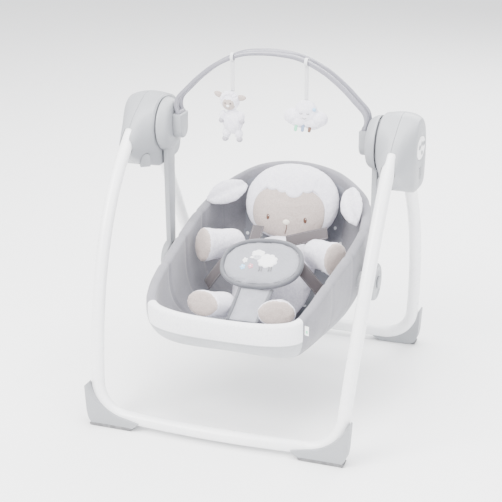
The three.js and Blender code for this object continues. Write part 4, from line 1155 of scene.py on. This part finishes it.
shell_rows = ([(t, -SHELL_T) for t in np.linspace(0.03, 0.95, 22)]
              + [(0.958, -3.2), (0.96, -2), (0.958, -0.8)]
              + [(t, 0) for t in np.linspace(0.95, 0.03, 22)])
shell = lofted("seat_tub", [as_points(skin_ring(*row)) for row in shell_rows], GREY)
inner_tub = lofted("tool", [as_points(skin_ring(t, -2)) for t in np.linspace(0.03, 0.96, 22)]
                   + [as_points(skin_ring(0.96, -2, 160))], None)
for side in (-1, 1):
    boss = turned("boss", [(0, 0), (17, 0), (17, 60.5), (16.2, 61.5), (12, 61.8), (0, 61.8)],
                  at(side * 150, 0, PIVOT_Z), (side, 0, 0), None, 48)
    carve(boss, [new_object("tool", inner_tub.data.copy())])
    carve(boss, [cylinder_between(at(side * 140, 0, PIVOT_Z), at(side * 240, 0, PIVOT_Z), 6.4)])
    boss.data.materials.clear()
    boss.data.materials.append(GREY)
    shell = joined("seat_tub", shell, boss)
bpy.data.objects.remove(inner_tub)
placed(sharpen(shell, 40), "seat", "grey_plastic", "seat_shell")

# ---------------------------------------------------------------- seat cover
CREASES = [(-150, 1), (-40, 1), (62, 1), (150, 0.7)]  # y of each quilting channel, and its depth
PANEL_HALF = 112  # half-width of the dotted middle panel


def quilting(depth=2.4, width=4.5):
    """How deep the quilting pulls the side wings in, at each column of the rim."""
    r = RIM_RING
    wing = np.clip((np.abs(r[:, 0]) - 120) / 30, 0, 1) * np.clip((r[:, 1] + 225) / 40, 0, 1)
    total = np.zeros(len(r))
    for mid, share in CREASES:
        total += share * np.exp(-((r[:, 1] - mid) / width) ** 2)
    return -depth * wing * np.clip(total, 0, 1) + 0.8 * wing * np.clip(1 - total, 0, 1)


QUILT = quilting()


def cover_rows():
    """Rows of the cover's closed skin: its back, the rolled rim, the pad's face."""
    rows = []
    outer = SHELL_T + 0.6
    for t in np.linspace(0.05, 0.99, 30):
        rows.append((t, 0.45, 0, 0, "lining"))
    rows.append((1, 0.4, 0.8, 0, "lining"))
    for t in [1] + list(np.linspace(0.985, 0.55, 16)):
        rows.append((t, -outer, 0.8 if t == 1 else 0, 0, "lining"))
    rows += [(0.541, -outer - 0.8, 0, 0, "side"), (0.54, -outer - 2.2, 0, 0, "side")]
    for t in np.linspace(0.55, 0.985, 24):
        rows.append((t, -outer - 3.0 - 0.9 * math.sin(math.pi * (t - 0.54) / 0.46), 0, 0.35, "side"))
    for k in range(9):
        a = math.pi * k / 8
        mid, half = (PAD_T - outer - 3) / 2, (PAD_T + outer + 3) / 2
        rows.append((1, mid - half * math.cos(a), 2 + 6 * math.sin(a), 0.8, "side" if k < 5 else "face"))
    for t in np.concatenate([np.linspace(0.985, 0.25, 40), np.linspace(0.23, 0.05, 8)]):
        rows.append((t, PAD_T, 0, 1.0 if t > 0.45 else 0.0, "face"))
    return rows


CLOTHS = [VELOUR, DOTTED, PANEL_PLUSH, BAND]
WHITE_FROM = 0.8  # the white panel's lower seam, as a share of the bucket's rise


def cloth_of(row, column):
    """Which of the cover's cloths a face is cut from: wings, lining, front panel or band."""
    t, offset, _, _, kind = row
    x, y, _ = RIM_RING[column]
    front = abs(x) < 150 and y < -200
    if front and (kind == "side" and t >= WHITE_FROM or t > 0.97):
        return 2
    if front and kind == "side":
        return 3
    if kind == "face" and abs(bucket_ring(t)[column][0]) < PANEL_HALF and t < 0.985:
        return 1
    return 0


def cover_skin():
    rows = cover_rows()
    points = []
    for t, offset, lift, quilted, _ in rows:
        pull = quilted * QUILT
        points += as_points(skin_ring(t, offset + (pull if offset > 0 else -pull), lift))
    faces = skin_faces(len(rows), COLUMNS)
    ends = [tuple(reversed(range(COLUMNS))), tuple(range((len(rows) - 1) * COLUMNS, len(rows) * COLUMNS))]
    obj = mesh_of("seat_fabric", points, faces + ends, VELOUR)
    for material in CLOTHS[1:]:
        obj.data.materials.append(material)
    for index, polygon in enumerate(obj.data.polygons):
        if index < len(faces):
            polygon.material_index = cloth_of(rows[index // COLUMNS], index % COLUMNS)
    outward(obj)
    return obj


def seam_on_side(t, low, high, offset=-9.2):
    """A line round the outside of the cover, at one height, between two columns."""
    ring = skin_ring(t, offset)
    return [at(*ring[c % COLUMNS]) for c in range(low, high + 1)]


cover = cover_skin()
edge_column = max(c for c in range(COLUMNS // 2) if RIM_RING[c][0] < 150 and RIM_RING[c][1] < -200) + 1
upper_seam = seam_on_side(WHITE_FROM, -edge_column, edge_column)
low_seam = seam_on_side(0.66, edge_column, COLUMNS - edge_column)
corner_seams = []
for side in (-1, 1):
    line = [Vector(at(*skin_ring(t, -9.2)[side * edge_column])) for t in np.linspace(WHITE_FROM, 0.985, 14)]
    corner_seams.append(line)
cover = joined("seat_cover_piece", cover,
               sewn("cover_seams", [upper_seam, low_seam, *corner_seams], GREY_THREAD, 3.6, 2.6, 0.5))
tag = plate("care_tag", [(-5.5, -9), (5.5, -9), (5.5, 9), (-5.5, 9)],
            lambda u, v, h: corner_seams[1][10] + Vector((u * 0.8 + 7, -1.5 - h - u * 0.3, v)) * MM, 0, 1.2,
            0.4, PANEL_WHITE)
leaf = plate("care_tag_mark", [(-2.6, -2.6), (2.6, -2.6), (2.6, 2.6), (-2.6, 2.6)],
             lambda u, v, h: corner_seams[1][10] + Vector((u * 0.8 + 7, -2.6 - h - u * 0.3, v - 2)) * MM, 0,
             0.6, 0.2, GREEN_THREAD)
cover = joined("seat_cover_piece", cover, tag, leaf)
placed(cover, "seat", "grey_velour", "seat_cover")


# ---------------------------------------------------------------- lamb support pillow
HEAD_TILT = math.pi / 3
on_head = local((0, 148, 338), turn_matrix(HEAD_TILT))
head = pillow("lamb_head_pillow", on_head, 103, 84, 38, PLUSH, 96, 18, 2.15, 0.55)
body = pillow("lamb_body_pillow", local((0, 24, 206), turn_matrix(0.72)), 86, 106, 35, PLUSH, 80, 16, 2.2)
ears, arms, legs = {}, {}, {}


def limb(name, centre, direction, radius, length, wide, tall):
    """A stuffed tube with a flat paw at its outer end, drawn out wide or tall towards it."""
    ahead = Vector(direction).normalized()
    across = ahead.cross(Vector((0, 0, 1))).normalized()
    up = across.cross(ahead)
    half = length / 2 + radius
    profile = [(-0.97, 0.25), (-0.93, 0.5), (-0.84, 0.74), (-0.7, 0.9), (-0.5, 0.96), (-0.2, 0.93),
               (0.1, 0.9), (0.4, 0.93), (0.62, 0.97), (0.76, 0.99), (0.83, 0.95), (0.87, 0.84),
               (0.9, 0.62), (0.915, 0.3)]
    rings = []
    for h, k, _ in spline([(h, k, 0) for h, k in profile], 26):
        grow = max(0, (h + 1) / 2)
        w = radius * k * (0.92 + (wide - 0.92) * grow)
        t = radius * k * (0.92 + (tall - 0.92) * grow)
        rings.append([at(*(Vector(centre) + across * (x * w) + up * (y * t) + ahead * (h * half)))
                      for x, y in circle(1, 48)])
    return lofted(name, rings, PLUSH)


ARM_SIZE, LEG_SIZE = (33, 46), (29, 60)  # radius and length
EAR_TURN = {-1: 0.35, 1: 0.85}
ARM_AT = {s: (s * 112, 14, 276) for s in (-1, 1)}
ARM_WAY = {-1: (-0.58, -0.8, 0.15), 1: (0.74, -0.65, 0.12)}
LEG_AT = {s: (s * 66, -140, 206) for s in (-1, 1)}
LEG_WAY = {s: (s * 0.22, -0.92, 0.36) for s in (-1, 1)}
for word, s in (("left", -1), ("right", 1)):
    droop = lambda u, v: -0.0016 * (u * u) - 6 * math.exp(-(v / 6) ** 2)
    turned_ear = turn_matrix(0.9, -s * 0.5) @ Matrix.Rotation(-s * EAR_TURN[s], 3, "Z")
    ears[word] = pillow(f"lamb_{word}_ear", local((s * 137, 122, 355), turned_ear),
                        50, 27, 9.5, PLUSH, 56, 10, 1.7, 0.5, droop)
    arms[word] = limb(f"lamb_{word}_arm", ARM_AT[s], ARM_WAY[s], *ARM_SIZE, 0.86, 1.14)
    legs[word] = limb(f"lamb_{word}_leg", LEG_AT[s], LEG_WAY[s], *LEG_SIZE, 1.38, 0.92)

on_tummy = local((0, -50, 268), Matrix.Rotation(-0.1, 3, "Y") @ Matrix.Rotation(0.78, 3, "X"))
tummy = pillow("tummy_pad_cushion", on_tummy, 84, 51, 5.4, VELOUR_LIGHT, 96, 14, 2.35, 0.4)
plush_pieces = [head, body, *ears.values(), *arms.values(), *legs.values()]
stuffed(plush_pieces, 4.5, 4.5)
stuffed([tummy], 2.0, 3.5)
for k, piece in enumerate(plush_pieces):
    tufted(refined(piece), 0.7, 9, k)
refined(tummy)


def flat_end(obj, centre, direction, radius, length, reach):
    """The paw's sole: a beige patch where the limb's end faces along its direction."""
    ahead = Vector(direction).normalized()
    middle_point = at(*centre)
    limit = reach * (length / 2 + radius) * MM
    repaint(obj, BEIGE, lambda c: (c - middle_point).dot(ahead) > limit)


for word, s in (("left", -1), ("right", 1)):
    flat_end(arms[word], ARM_AT[s], ARM_WAY[s], *ARM_SIZE, 0.78)
    flat_end(legs[word], LEG_AT[s], LEG_WAY[s], *LEG_SIZE, 0.82)
    placed(arms[word], "seat", "white_plush", f"lamb_arm_{word}")
    placed(legs[word], "seat", "white_plush", f"lamb_leg_{word}")
    placed(ears[word], "seat", "white_plush", f"lamb_ear_{word}")


def nearest_on(obj):
    """drop(start, way, lift): a point over a finished piece, found by dropping onto its surface."""
    tree = BVHTree.FromPolygons([v.co for v in obj.data.vertices],
                                [tuple(p.vertices) for p in obj.data.polygons])

    def drop(start, way, lift):
        hit, normal, _, _ = tree.ray_cast(start, way)
        if hit is None:
            hit, normal, _, _ = tree.find_nearest(start)
        return hit - way * (lift * MM)

    return drop


def overlay(obj, place, high=200):
    """place(a, b, lift) that drops points along a piece's own third axis onto its skin."""
    drop = nearest_on(obj)
    origin = place(0, 0, 0)
    way = (place(0, 0, -1) - origin).normalized()
    return lambda a, b, lift: drop(place(a, b, high), way, lift)


on_face = overlay(head, on_head)


def patch(name, outline, place, material, thick=1.2, rings=10, low=-1.0):
    """A cloth patch laid on a surface: domed a little and rounded down to its sewn edge."""
    mid = np.mean(np.array(outline), axis=0)
    found = []
    for k in range(rings, 0, -1):
        share = k / rings
        top = thick * (1 - share ** 8) + 0.25
        found.append([place(*(mid + (np.array(p) - mid) * share), top) for p in outline])
    skirt = [place(*p, low) for p in outline]
    rows = [skirt] + found
    rows.append([place(*(mid + (np.array(p) - mid) * 0.02), thick + 0.25) for p in outline])
    under = [[place(*(mid + (np.array(p) - mid) * share), low) for p in outline]
             for share in (0.02, 0.5)]
    return lofted(name, under + rows, material)


def oval_outline(rx, ry, corner, count=96):
    """Points round an oval; a corner over 2 squares it."""
    points = []
    for i in range(count):
        a = 2 * math.pi * i / count
        ca, sa = math.cos(a), math.sin(a)
        size = (abs(ca) ** corner + abs(sa) ** corner) ** (-1 / corner)
        points.append((rx * size * ca, ry * size * sa))
    return points


FACE_MID, FACE_HALF, FACE_CORNER = (2, -27), (79, 53), 2.5  # the face patch on the head
FACE_LINE = [(FACE_MID[0] + u, FACE_MID[1] + v) for u, v in oval_outline(*FACE_HALF, FACE_CORNER)]
face = patch("face_patch", FACE_LINE, on_face, BEIGE, 1.6, 26)

LOBES = [(-37, 27, 16), (-14, 22, 15), (12, 16, 19), (37, 26, 14)]


def fringe_outline():
    """The wool's lower edge: hanging lobes, kept above the face patch's upper edge at the sides."""
    low = []
    for a in np.linspace(-80, 80, 161):
        b = 34 + (a / 80) ** 2 * 16
        for mid, height, r in LOBES:
            if abs(a - mid) < r:
                b = min(b, height - math.sqrt(r * r - (a - mid) ** 2) * 0.9)
        across = min(1.0, abs(a - FACE_MID[0]) / FACE_HALF[0])
        brow = FACE_MID[1] + FACE_HALF[1] * (1 - across ** FACE_CORNER) ** (1 / FACE_CORNER)
        low.append((a, min(b, brow + 1)))
    return low


def fringe():
    """The wool over the brow: a puffed sheet between its lower edge and the top of the head."""
    low = fringe_outline()
    rows = 16
    top_edge = np.array([(a, 50 + 26 * math.sqrt(max(0, 1 - (a / 80.01) ** 2))) for a, _ in low])
    bottom = np.array(low)
    rings = []
    for side_lift in (0, 1):
        sheet = []
        for k in range(rows + 1):
            share = k / rows
            line = []
            for (a, b0), (_, b1) in zip(bottom, top_edge):
                b = b0 + (b1 - b0) * share
                edge = min(1.0, (b - b0) / 5)
                puff = 3.4 * math.sqrt(max(0, 1 - (1 - edge) ** 2)) * (1 - share ** 6)
                away = min(1.0, max(0.0, (76 - abs(a)) / 26))  # sinks into the head at both sides
                top = (puff + 0.2) * away - (1 - away)
                line.append(on_face(a, b, top if side_lift else -1.5 - (1 - away)))
            sheet.append(line)
        rings.append(sheet)
    lower, upper = rings
    loops = []
    for k in range(rows + 1):
        loops.append(upper[k] + lower[k][::-1])
    return lofted("wool_fringe", loops, PLUSH)


wool = tufted(fringe(), 0.5, 7, 3)


def bead(name, place, a, b, ra, rb, material, height=1.1, turn=0.0, sides=28):
    """A small embroidered oval, slightly raised."""
    rings = []
    for r, h in ((1.0, -0.8), (1.0, 0.15), (0.93, 0.55), (0.75, 0.85), (0.45, 1.0), (0.12, 1.05)):
        ring = []
        for x, y in circle(r, sides):
            u = ra * x * math.cos(turn) - rb * y * math.sin(turn)
            v = ra * x * math.sin(turn) + rb * y * math.cos(turn)
            ring.append(place(a + u, b + v, 1.9 + height * h))
        rings.append(ring)
    return lofted(name, rings, material)


def thread(name, place, points, width, material, lift=2.2):
    line = spline([(a, b, 0) for a, b in points], max(6, 4 * len(points)))
    return rod(name, [place(a, b, lift) for a, b, _ in line], width * MM / 2, material, 8)


EYES = ((-38, -43), (43.7, -42.3))
eyes = [bead("eye", on_face, a, b, 3.4, 5.8, BROWN_THREAD, 1.3, 0.05) for a, b in EYES]
glints = [bead("glint", on_face, a + 1.1, b + 2.2, 0.8, 1.0, WHITE_THREAD, 2.3, 0, 12) for a, b in EYES]
nose = bead("nose", on_face, 4, -50.5, 7.6, 5.2, CREAM_THREAD, 1.6)
mouth = thread("mouth", on_face, [(5, -56), (5.2, -62), (3.4, -68), (1.5, -73)], 1.5, BROWN_THREAD)
face_edge = [on_face(a, b, 0.9) for a, b in FACE_LINE]
seam_thread = sewn("face_seam", [face_edge + face_edge[:1]], PALE_THREAD, 3.4, 2.4, 0.5)
head = joined("lamb_head_cushion", head, face, wool, *eyes, *glints, nose, mouth, seam_thread)
placed(head, "seat", "white_plush", "lamb_head")
placed(body, "seat", "white_plush", "lamb_body")

# ---------------------------------------------------------------- tummy pad, crotch pad and straps
on_pad = overlay(tummy, on_tummy)


def binding(name, path, width, thick, material):
    """Folded tape sewn round the tummy pad's edge: a flattened round section along a closed path."""
    up = (on_tummy(0, 0, 1) - on_tummy(0, 0, 0)).normalized()
    rings = []
    for i, p in enumerate(path):
        ahead = (path[(i + 1) % len(path)] - path[i - 1]).normalized()
        across = ahead.cross(up).normalized()
        top = across.cross(ahead)
        rings.append([p + across * (x * width * MM / 2) + top * (y * thick * MM / 2)
                      for x, y in circle(1, 18)])
    return lofted(name, rings, material, closed_along=True)


rim_path = [on_tummy(a, b, 0) for a, b in oval_outline(84.5, 51.5, 2.35)]
pad_binding = binding("pad_binding", rim_path, 9, 13, PIPING)
inner_line = [on_pad(a, b, 0.5) for a, b in oval_outline(77.5, 44.5, 2.3, 160)]
pad_stitch = sewn("pad_stitches", [inner_line + inner_line[:1]], PALE_THREAD, 3.2, 2.3, 0.5)


def cloud_outline(cx, cy, rx, ry, bumps, depth=0.14, count=72):
    return [(cx + rx * (1 + depth * abs(math.sin(bumps * a / 2)) - depth) * math.cos(a),
             cy + ry * (1 + depth * abs(math.sin(bumps * a / 2)) - depth) * math.sin(a))
            for a in (2 * math.pi * i / count for i in range(count))]


def embroidered(name, outline, place, material, thick=0.9):
    return patch(name, outline, place, material, thick, 5)


motif = [embroidered("sheep_body", cloud_outline(14, 3, 22, 16, 9), on_pad, WHITE_THREAD),
         embroidered("sheep_wool", cloud_outline(-8, 19, 15, 9, 6), on_pad, WHITE_THREAD, 1.3),
         embroidered("sheep_head", oval_outline(9.5, 6.5, 2.0, 40),
                     lambda a, b, h: on_pad(a - 9, b + 11, h + 0.5), PALE_THREAD, 0.9),
         embroidered("sheep_ear", oval_outline(4.5, 2.4, 2.0, 24),
                     lambda a, b, h: on_pad(a - 20, b + 10, h + 0.7), WHITE_THREAD, 0.9)]
for a in (0, 5, 20, 25):
    motif.append(thread("sheep_leg", on_pad, [(a, -11), (a - 0.6, -19)], 2.6, GREY_THREAD, 0.9))
for a, b in ((-12, 11), (-6, 11.5)):
    lid = [(a - 1.4, b), (a, b - 0.8), (a + 1.4, b)]
    motif.append(thread("sheep_eye", on_pad, lid, 0.7, GREY_THREAD, 2.4))
for a, b, material in ((-34, 4, WHITE_THREAD), (-37, -11, BLUE_THREAD), (-20, -9, PINK_THREAD)):
    petals = cloud_outline(a, b, 6.2, 6.2, 5, 0.35)
    motif.append(embroidered("flower", petals, on_pad, material, 0.8))
    motif.append(bead("flower_eye", on_pad, a, b, 1.5, 1.5, CREAM_THREAD, 0.6, 0, 12))
tummy = joined("tummy_pad_piece", tummy, pad_binding, pad_stitch, *motif)
placed(tummy, "seat", "grey_velour", "tummy_pad")

on_crotch = local((0, -126, 208), turn_matrix(0.42))


def crotch_pad():
    """A short padded strap between the legs, bound at both sides, wider at the tummy."""
    rows, columns = 30, 24
    rings = []
    for k in range(rows + 1):
        share = k / rows
        y = -46 + 92 * share
        half = 29.5 + 3.5 * share
        bend = -3.0 * math.cos(math.pi * (share - 0.5)) + 3
        ring = []
        for face in (1, -1):
            for i in range(columns + 1):
                x = face * (-1 + 2 * i / columns)
                crown = (1 - abs(x) ** 3) ** 0.5 * (1 - abs(2 * share - 1) ** 8) ** 0.5
                dent = 0.5 * math.sin(5 * x + 9 * share) * (1 if face > 0 else 0)
                ring.append(on_crotch(half * x, y, face * 3.4 * crown + bend - 3 + dent * crown))
        rings.append(ring)
    return lofted("crotch_cushion", rings, VELOUR_LIGHT)


crotch = crotch_pad()
edges = []
for s in (-1, 1):
    line = [on_crotch(s * (30 + 3.5 * k / 20), -45 + 90 * k / 20, 0) for k in range(21)]
    edges.append(rod("edge", line, 3.6 * MM, PIPING, 14, squeeze=0.9))
rows_of_stitch = [[on_crotch(s * (24.5 + 3.2 * k / 24), -42 + 84 * k / 24, 3.1) for k in range(25)]
                  for s in (-1, 1)]
crotch_stitches = sewn("crotch_stitches", rows_of_stitch, PALE_THREAD, 3.2, 2.3, 0.5)
crotch = joined("crotch_pad_piece", crotch, *edges, crotch_stitches)
placed(crotch, "seat", "grey_velour", "crotch_pad")


def tape(name, centre, width, length, thick, matrix, material, bow=0.0, pieces=24):
    """A flat strap with rounded selvedges, bowed a little, and its own UV map."""
    place = local(centre, matrix)
    section = [(x * width / 2, y) for x, y in
               ((-1, 0), (-0.985, 0.4), (-0.95, 0.5), (0.95, 0.5), (0.985, 0.4), (1, 0), (0.985, -0.4),
                (0.95, -0.5), (-0.95, -0.5), (-0.985, -0.4))]
    rings = []
    for k in range(pieces + 1):
        share = k / pieces
        v = (share - 0.5) * length
        w = bow * math.sin(math.pi * share)
        rings.append([place(u, v, h * thick + w) for u, h in section])
    obj = lofted(name, rings, material)
    uv = obj.data.uv_layers.new(name="tape")
    origin = place(0, 0, 0)
    across = (place(1, 0, 0) - origin).normalized()
    along = (place(0, 1, 0) - origin).normalized()
    for loop in obj.data.loops:
        co = obj.data.vertices[loop.vertex_index].co - origin
        uv.data[loop.index].uv = (co.dot(across), co.dot(along))
    return obj


def facing(along, towards):
    """Axes for a strap: its length along one way, its face turned towards another."""
    b = Vector(along).normalized()
    a = b.cross(Vector(towards)).normalized()
    return Matrix((a, b, a.cross(b))).transposed()


STRAPS = {"shoulder_strap_left": ((-44, 36, 290), 25, 58, turn_matrix(0.72)),
          "shoulder_strap_right": ((67, 38, 303), 25, 92, facing((0.95, 0, 0.32), (0, -0.85, 0.5))),
          "waist_strap_left": ((-104, -40, 230), 25, 78, facing((-0.58, 0.22, -0.78), (-0.5, -0.8, 0.15))),
          "waist_strap_right": ((103, -42, 242), 25, 78, facing((0.58, 0.22, -0.78), (0.5, -0.8, 0.15)))}
for name, (centre, width, length, matrix) in STRAPS.items():
    obj = tape(name + "_tape", centre, width, length, 2.4, matrix, TAPE, 0.8)
    place = local(centre, matrix)
    lines = [[place(s * (width / 2 - 2.2), (share - 0.5) * (length - 4), 1.3 + 0.8 * math.sin(math.pi * share))
              for share in (k / 20 for k in range(21))] for s in (-1, 1)]
    obj = joined(name + "_piece", obj, sewn("selvedge_stitches", lines, PALE_THREAD, 2.8, 1.9, 0.35))
    placed(obj, "seat", "webbing", name)

# ---------------------------------------------------------------- hanging toys
TOY_X, RAIL_Y = 76, -8
RAIL_Z = float(np.interp(TOY_X, *zip(*sorted((x, z) for x, z in spline(RAIL_LINE, 300) if x >= 0))))
STRAP_TOP = RAIL_Z - 4.8 - 3


def hanger(x, length):
    """A woven loop round the rail and a ribbon down to the toy."""
    ring = []
    for k in range(40):
        a = 2 * math.pi * k / 40
        c, s = math.cos(a), math.sin(a)
        row = [(x - 3, 7.2), (x + 3, 7.2), (x + 3, 8.6), (x - 3, 8.6)]
        ring.append([at(u, RAIL_Y + r * s, RAIL_Z + r * c) for u, r in row])
    loop = lofted("loop", ring, TAPE_LIGHT, closed_along=True)
    ribbon = tape("ribbon", (x, RAIL_Y, STRAP_TOP - length / 2), 7.6, length, 1.8,
                  turn_matrix(math.pi / 2), TAPE_LIGHT)
    return [sharpen(loop, 40), ribbon]


def ball(name, centre, size, material, levels=4):
    """A soft round piece: a subdivided icosphere drawn out to the given half-sizes."""
    bm = bmesh.new()
    bmesh.ops.create_icosphere(bm, subdivisions=levels, radius=1)
    mesh = bpy.data.meshes.new(name)
    for v in bm.verts:
        p = Vector(centre) + Vector((v.co.x * size[0], v.co.y * size[1], v.co.z * size[2]))
        v.co = at(*p)
    bm.to_mesh(mesh)
    bm.free()
    for polygon in mesh.polygons:
        polygon.use_smooth = True
    return new_object(name, mesh, material)


def front_of(x, y, z):
    """place(a, b, lift) on a plane that faces forwards, for sewn features."""
    return lambda a, b, h: at(x + a, y - h, z + b)


def lamb_toy(x):
    z = STRAP_TOP - 58
    y = RAIL_Y
    pieces = hanger(x, 60)
    head_at = (x - 6, y, z - 22)
    skull = tufted(ball("skull", head_at, (20, 12.5, 20), PLUSH), 0.8, 5, 1)
    skin = ball("skin", (x - 6, y - 3.2, z - 25), (15.5, 10.6, 15.5), BEIGE)
    pieces += [skull, skin]
    surface = overlay(skin, front_of(x - 6, y, z - 25), 60)
    curls = [ball("curl", (x - 6 + 14 * math.cos(t), y - 4, z - 20 + 13.5 * math.sin(t)), (5.6, 7.6, 5.6),
                  PLUSH, 3) for t in np.linspace(0.25, math.pi - 0.25, 7)]
    pieces += [tufted(c, 0.5, 4, 2) for c in curls]
    for s, tilt in ((-1, 0.35), (1, -0.1)):
        lobe = pillow("toy_ear", local((x - 6 + s * 23, y, z - 13 - 2 * s), Matrix.Rotation(tilt, 3, "Y")
                                       @ turn_matrix(math.pi / 2)), 11, 6, 3, BEIGE, 40, 8, 2, 0.5)
        pieces.append(lobe)
    flush = lambda u, v, h: surface(u, v, h - 1.9)
    for a, b in ((-5.5, 0.5), (5.5, 0)):
        pieces.append(bead("toy_eye", flush, a, b, 1.3, 1.6, BLACK, 1.0, 0, 14))
    pieces.append(bead("toy_nose", flush, 0, -5, 3.4, 2.6, WHITE_THREAD, 1.4, 0, 18))
    trunk = tufted(ball("trunk", (x, y + 1, z - 64), (21, 15, 25), PLUSH), 1.0, 6, 3)
    pieces.append(trunk)
    for s in (-1, 1):
        arm = ball("toy_arm", (x + s * 19, y - 4, z - 52), (7.5, 7, 11), PLUSH, 3)
        hand = ball("toy_hand", (x + s * 22, y - 7, z - 61), (5.2, 5.4, 5.6), RAIL_CLOTH, 3)
        leg = ball("toy_leg", (x + s * 13, y - 1, z - 88), (8.4, 8.4, 11), PLUSH, 3)
        foot_end = ball("toy_foot", (x + s * 15, y - 3, z - 99), (6.6, 6.6, 5.6), RAIL_CLOTH, 3)
        pieces += [tufted(arm, 0.5, 4, s), hand, tufted(leg, 0.5, 4, s + 3), foot_end]
    return joined("lamb_toy_soft", *pieces)


def cloud_toy(x):
    z = STRAP_TOP - 64
    y = RAIL_Y
    pieces = hanger(x, 66)
    puffs = ((0, -24, 23, 22), (-27, -36, 18, 16), (27, -38, 17, 15), (-12, -44, 20, 14), (13, -46, 20, 14),
             (0, -33, 30, 20))
    for k, (cx, cz, rx, rz) in enumerate(puffs):
        pieces.append(tufted(ball("puff", (x + cx, y, z + cz), (rx, 12.5, rz), PLUSH), 0.9, 6, k))
    flat = front_of(x, y - 12.2, z - 32)
    for a, b in ((-7, 6), (7, 6)):
        lid = [(a - 3, b), (a, b - 1.6), (a + 3, b)]
        pieces.append(thread("cloud_eye", flat, lid, 1.1, GREY_THREAD, 0.6))
    pieces.append(thread("cloud_smile", flat, [(-4, -3), (0, -5), (4, -3)], 1.1, GREY_THREAD, 0.6))
    pieces.append(ball("blue_bobble", (x + 19, y - 9, z - 18), (3.6, 3.6, 3.6), BLUE_THREAD, 3))
    for k, material in enumerate((GREEN_THREAD, SLATE_THREAD, BROWN_THREAD)):
        line = [at(x - 17 + 14 * k, y - 9 - 1.5 * j, z - 50 - 3.2 * j) for j in range(4)]
        pieces.append(rod("ribbon_tag", line, 3.2 * MM, material, 14, squeeze=0.35))
    return joined("cloud_toy_soft", *pieces)


RAIL_CLOTH = velour("lilac_grey_cloth", (0.5, 0.48, 0.53))
lamb = lamb_toy(-TOY_X)
placed(lamb, "lamb_toy", "white_plush", "lamb_toy")
cloud = cloud_toy(TOY_X)
placed(cloud, "cloud_toy", "white_plush", "cloud_toy")


# the pieces kept from the frame get their finishes
for node, material in {"left_axle": STEEL, "right_axle": STEEL, "left_fold_pin": STEEL,
                       "right_fold_pin": STEEL, "drive_motor": STEEL, "left_axle_bush": BLACK,
                       "right_axle_bush": BLACK, "speaker": BLACK, "circuit_board": BOARD,
                       "drive_sector": PANEL_WHITE, "motor_pinion": PANEL_WHITE,
                       **{f"battery_cell_{i}": CELL for i in range(1, 5)}}.items():
    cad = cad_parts[node]
    cad.data.materials.clear()
    cad.data.materials.append(material)
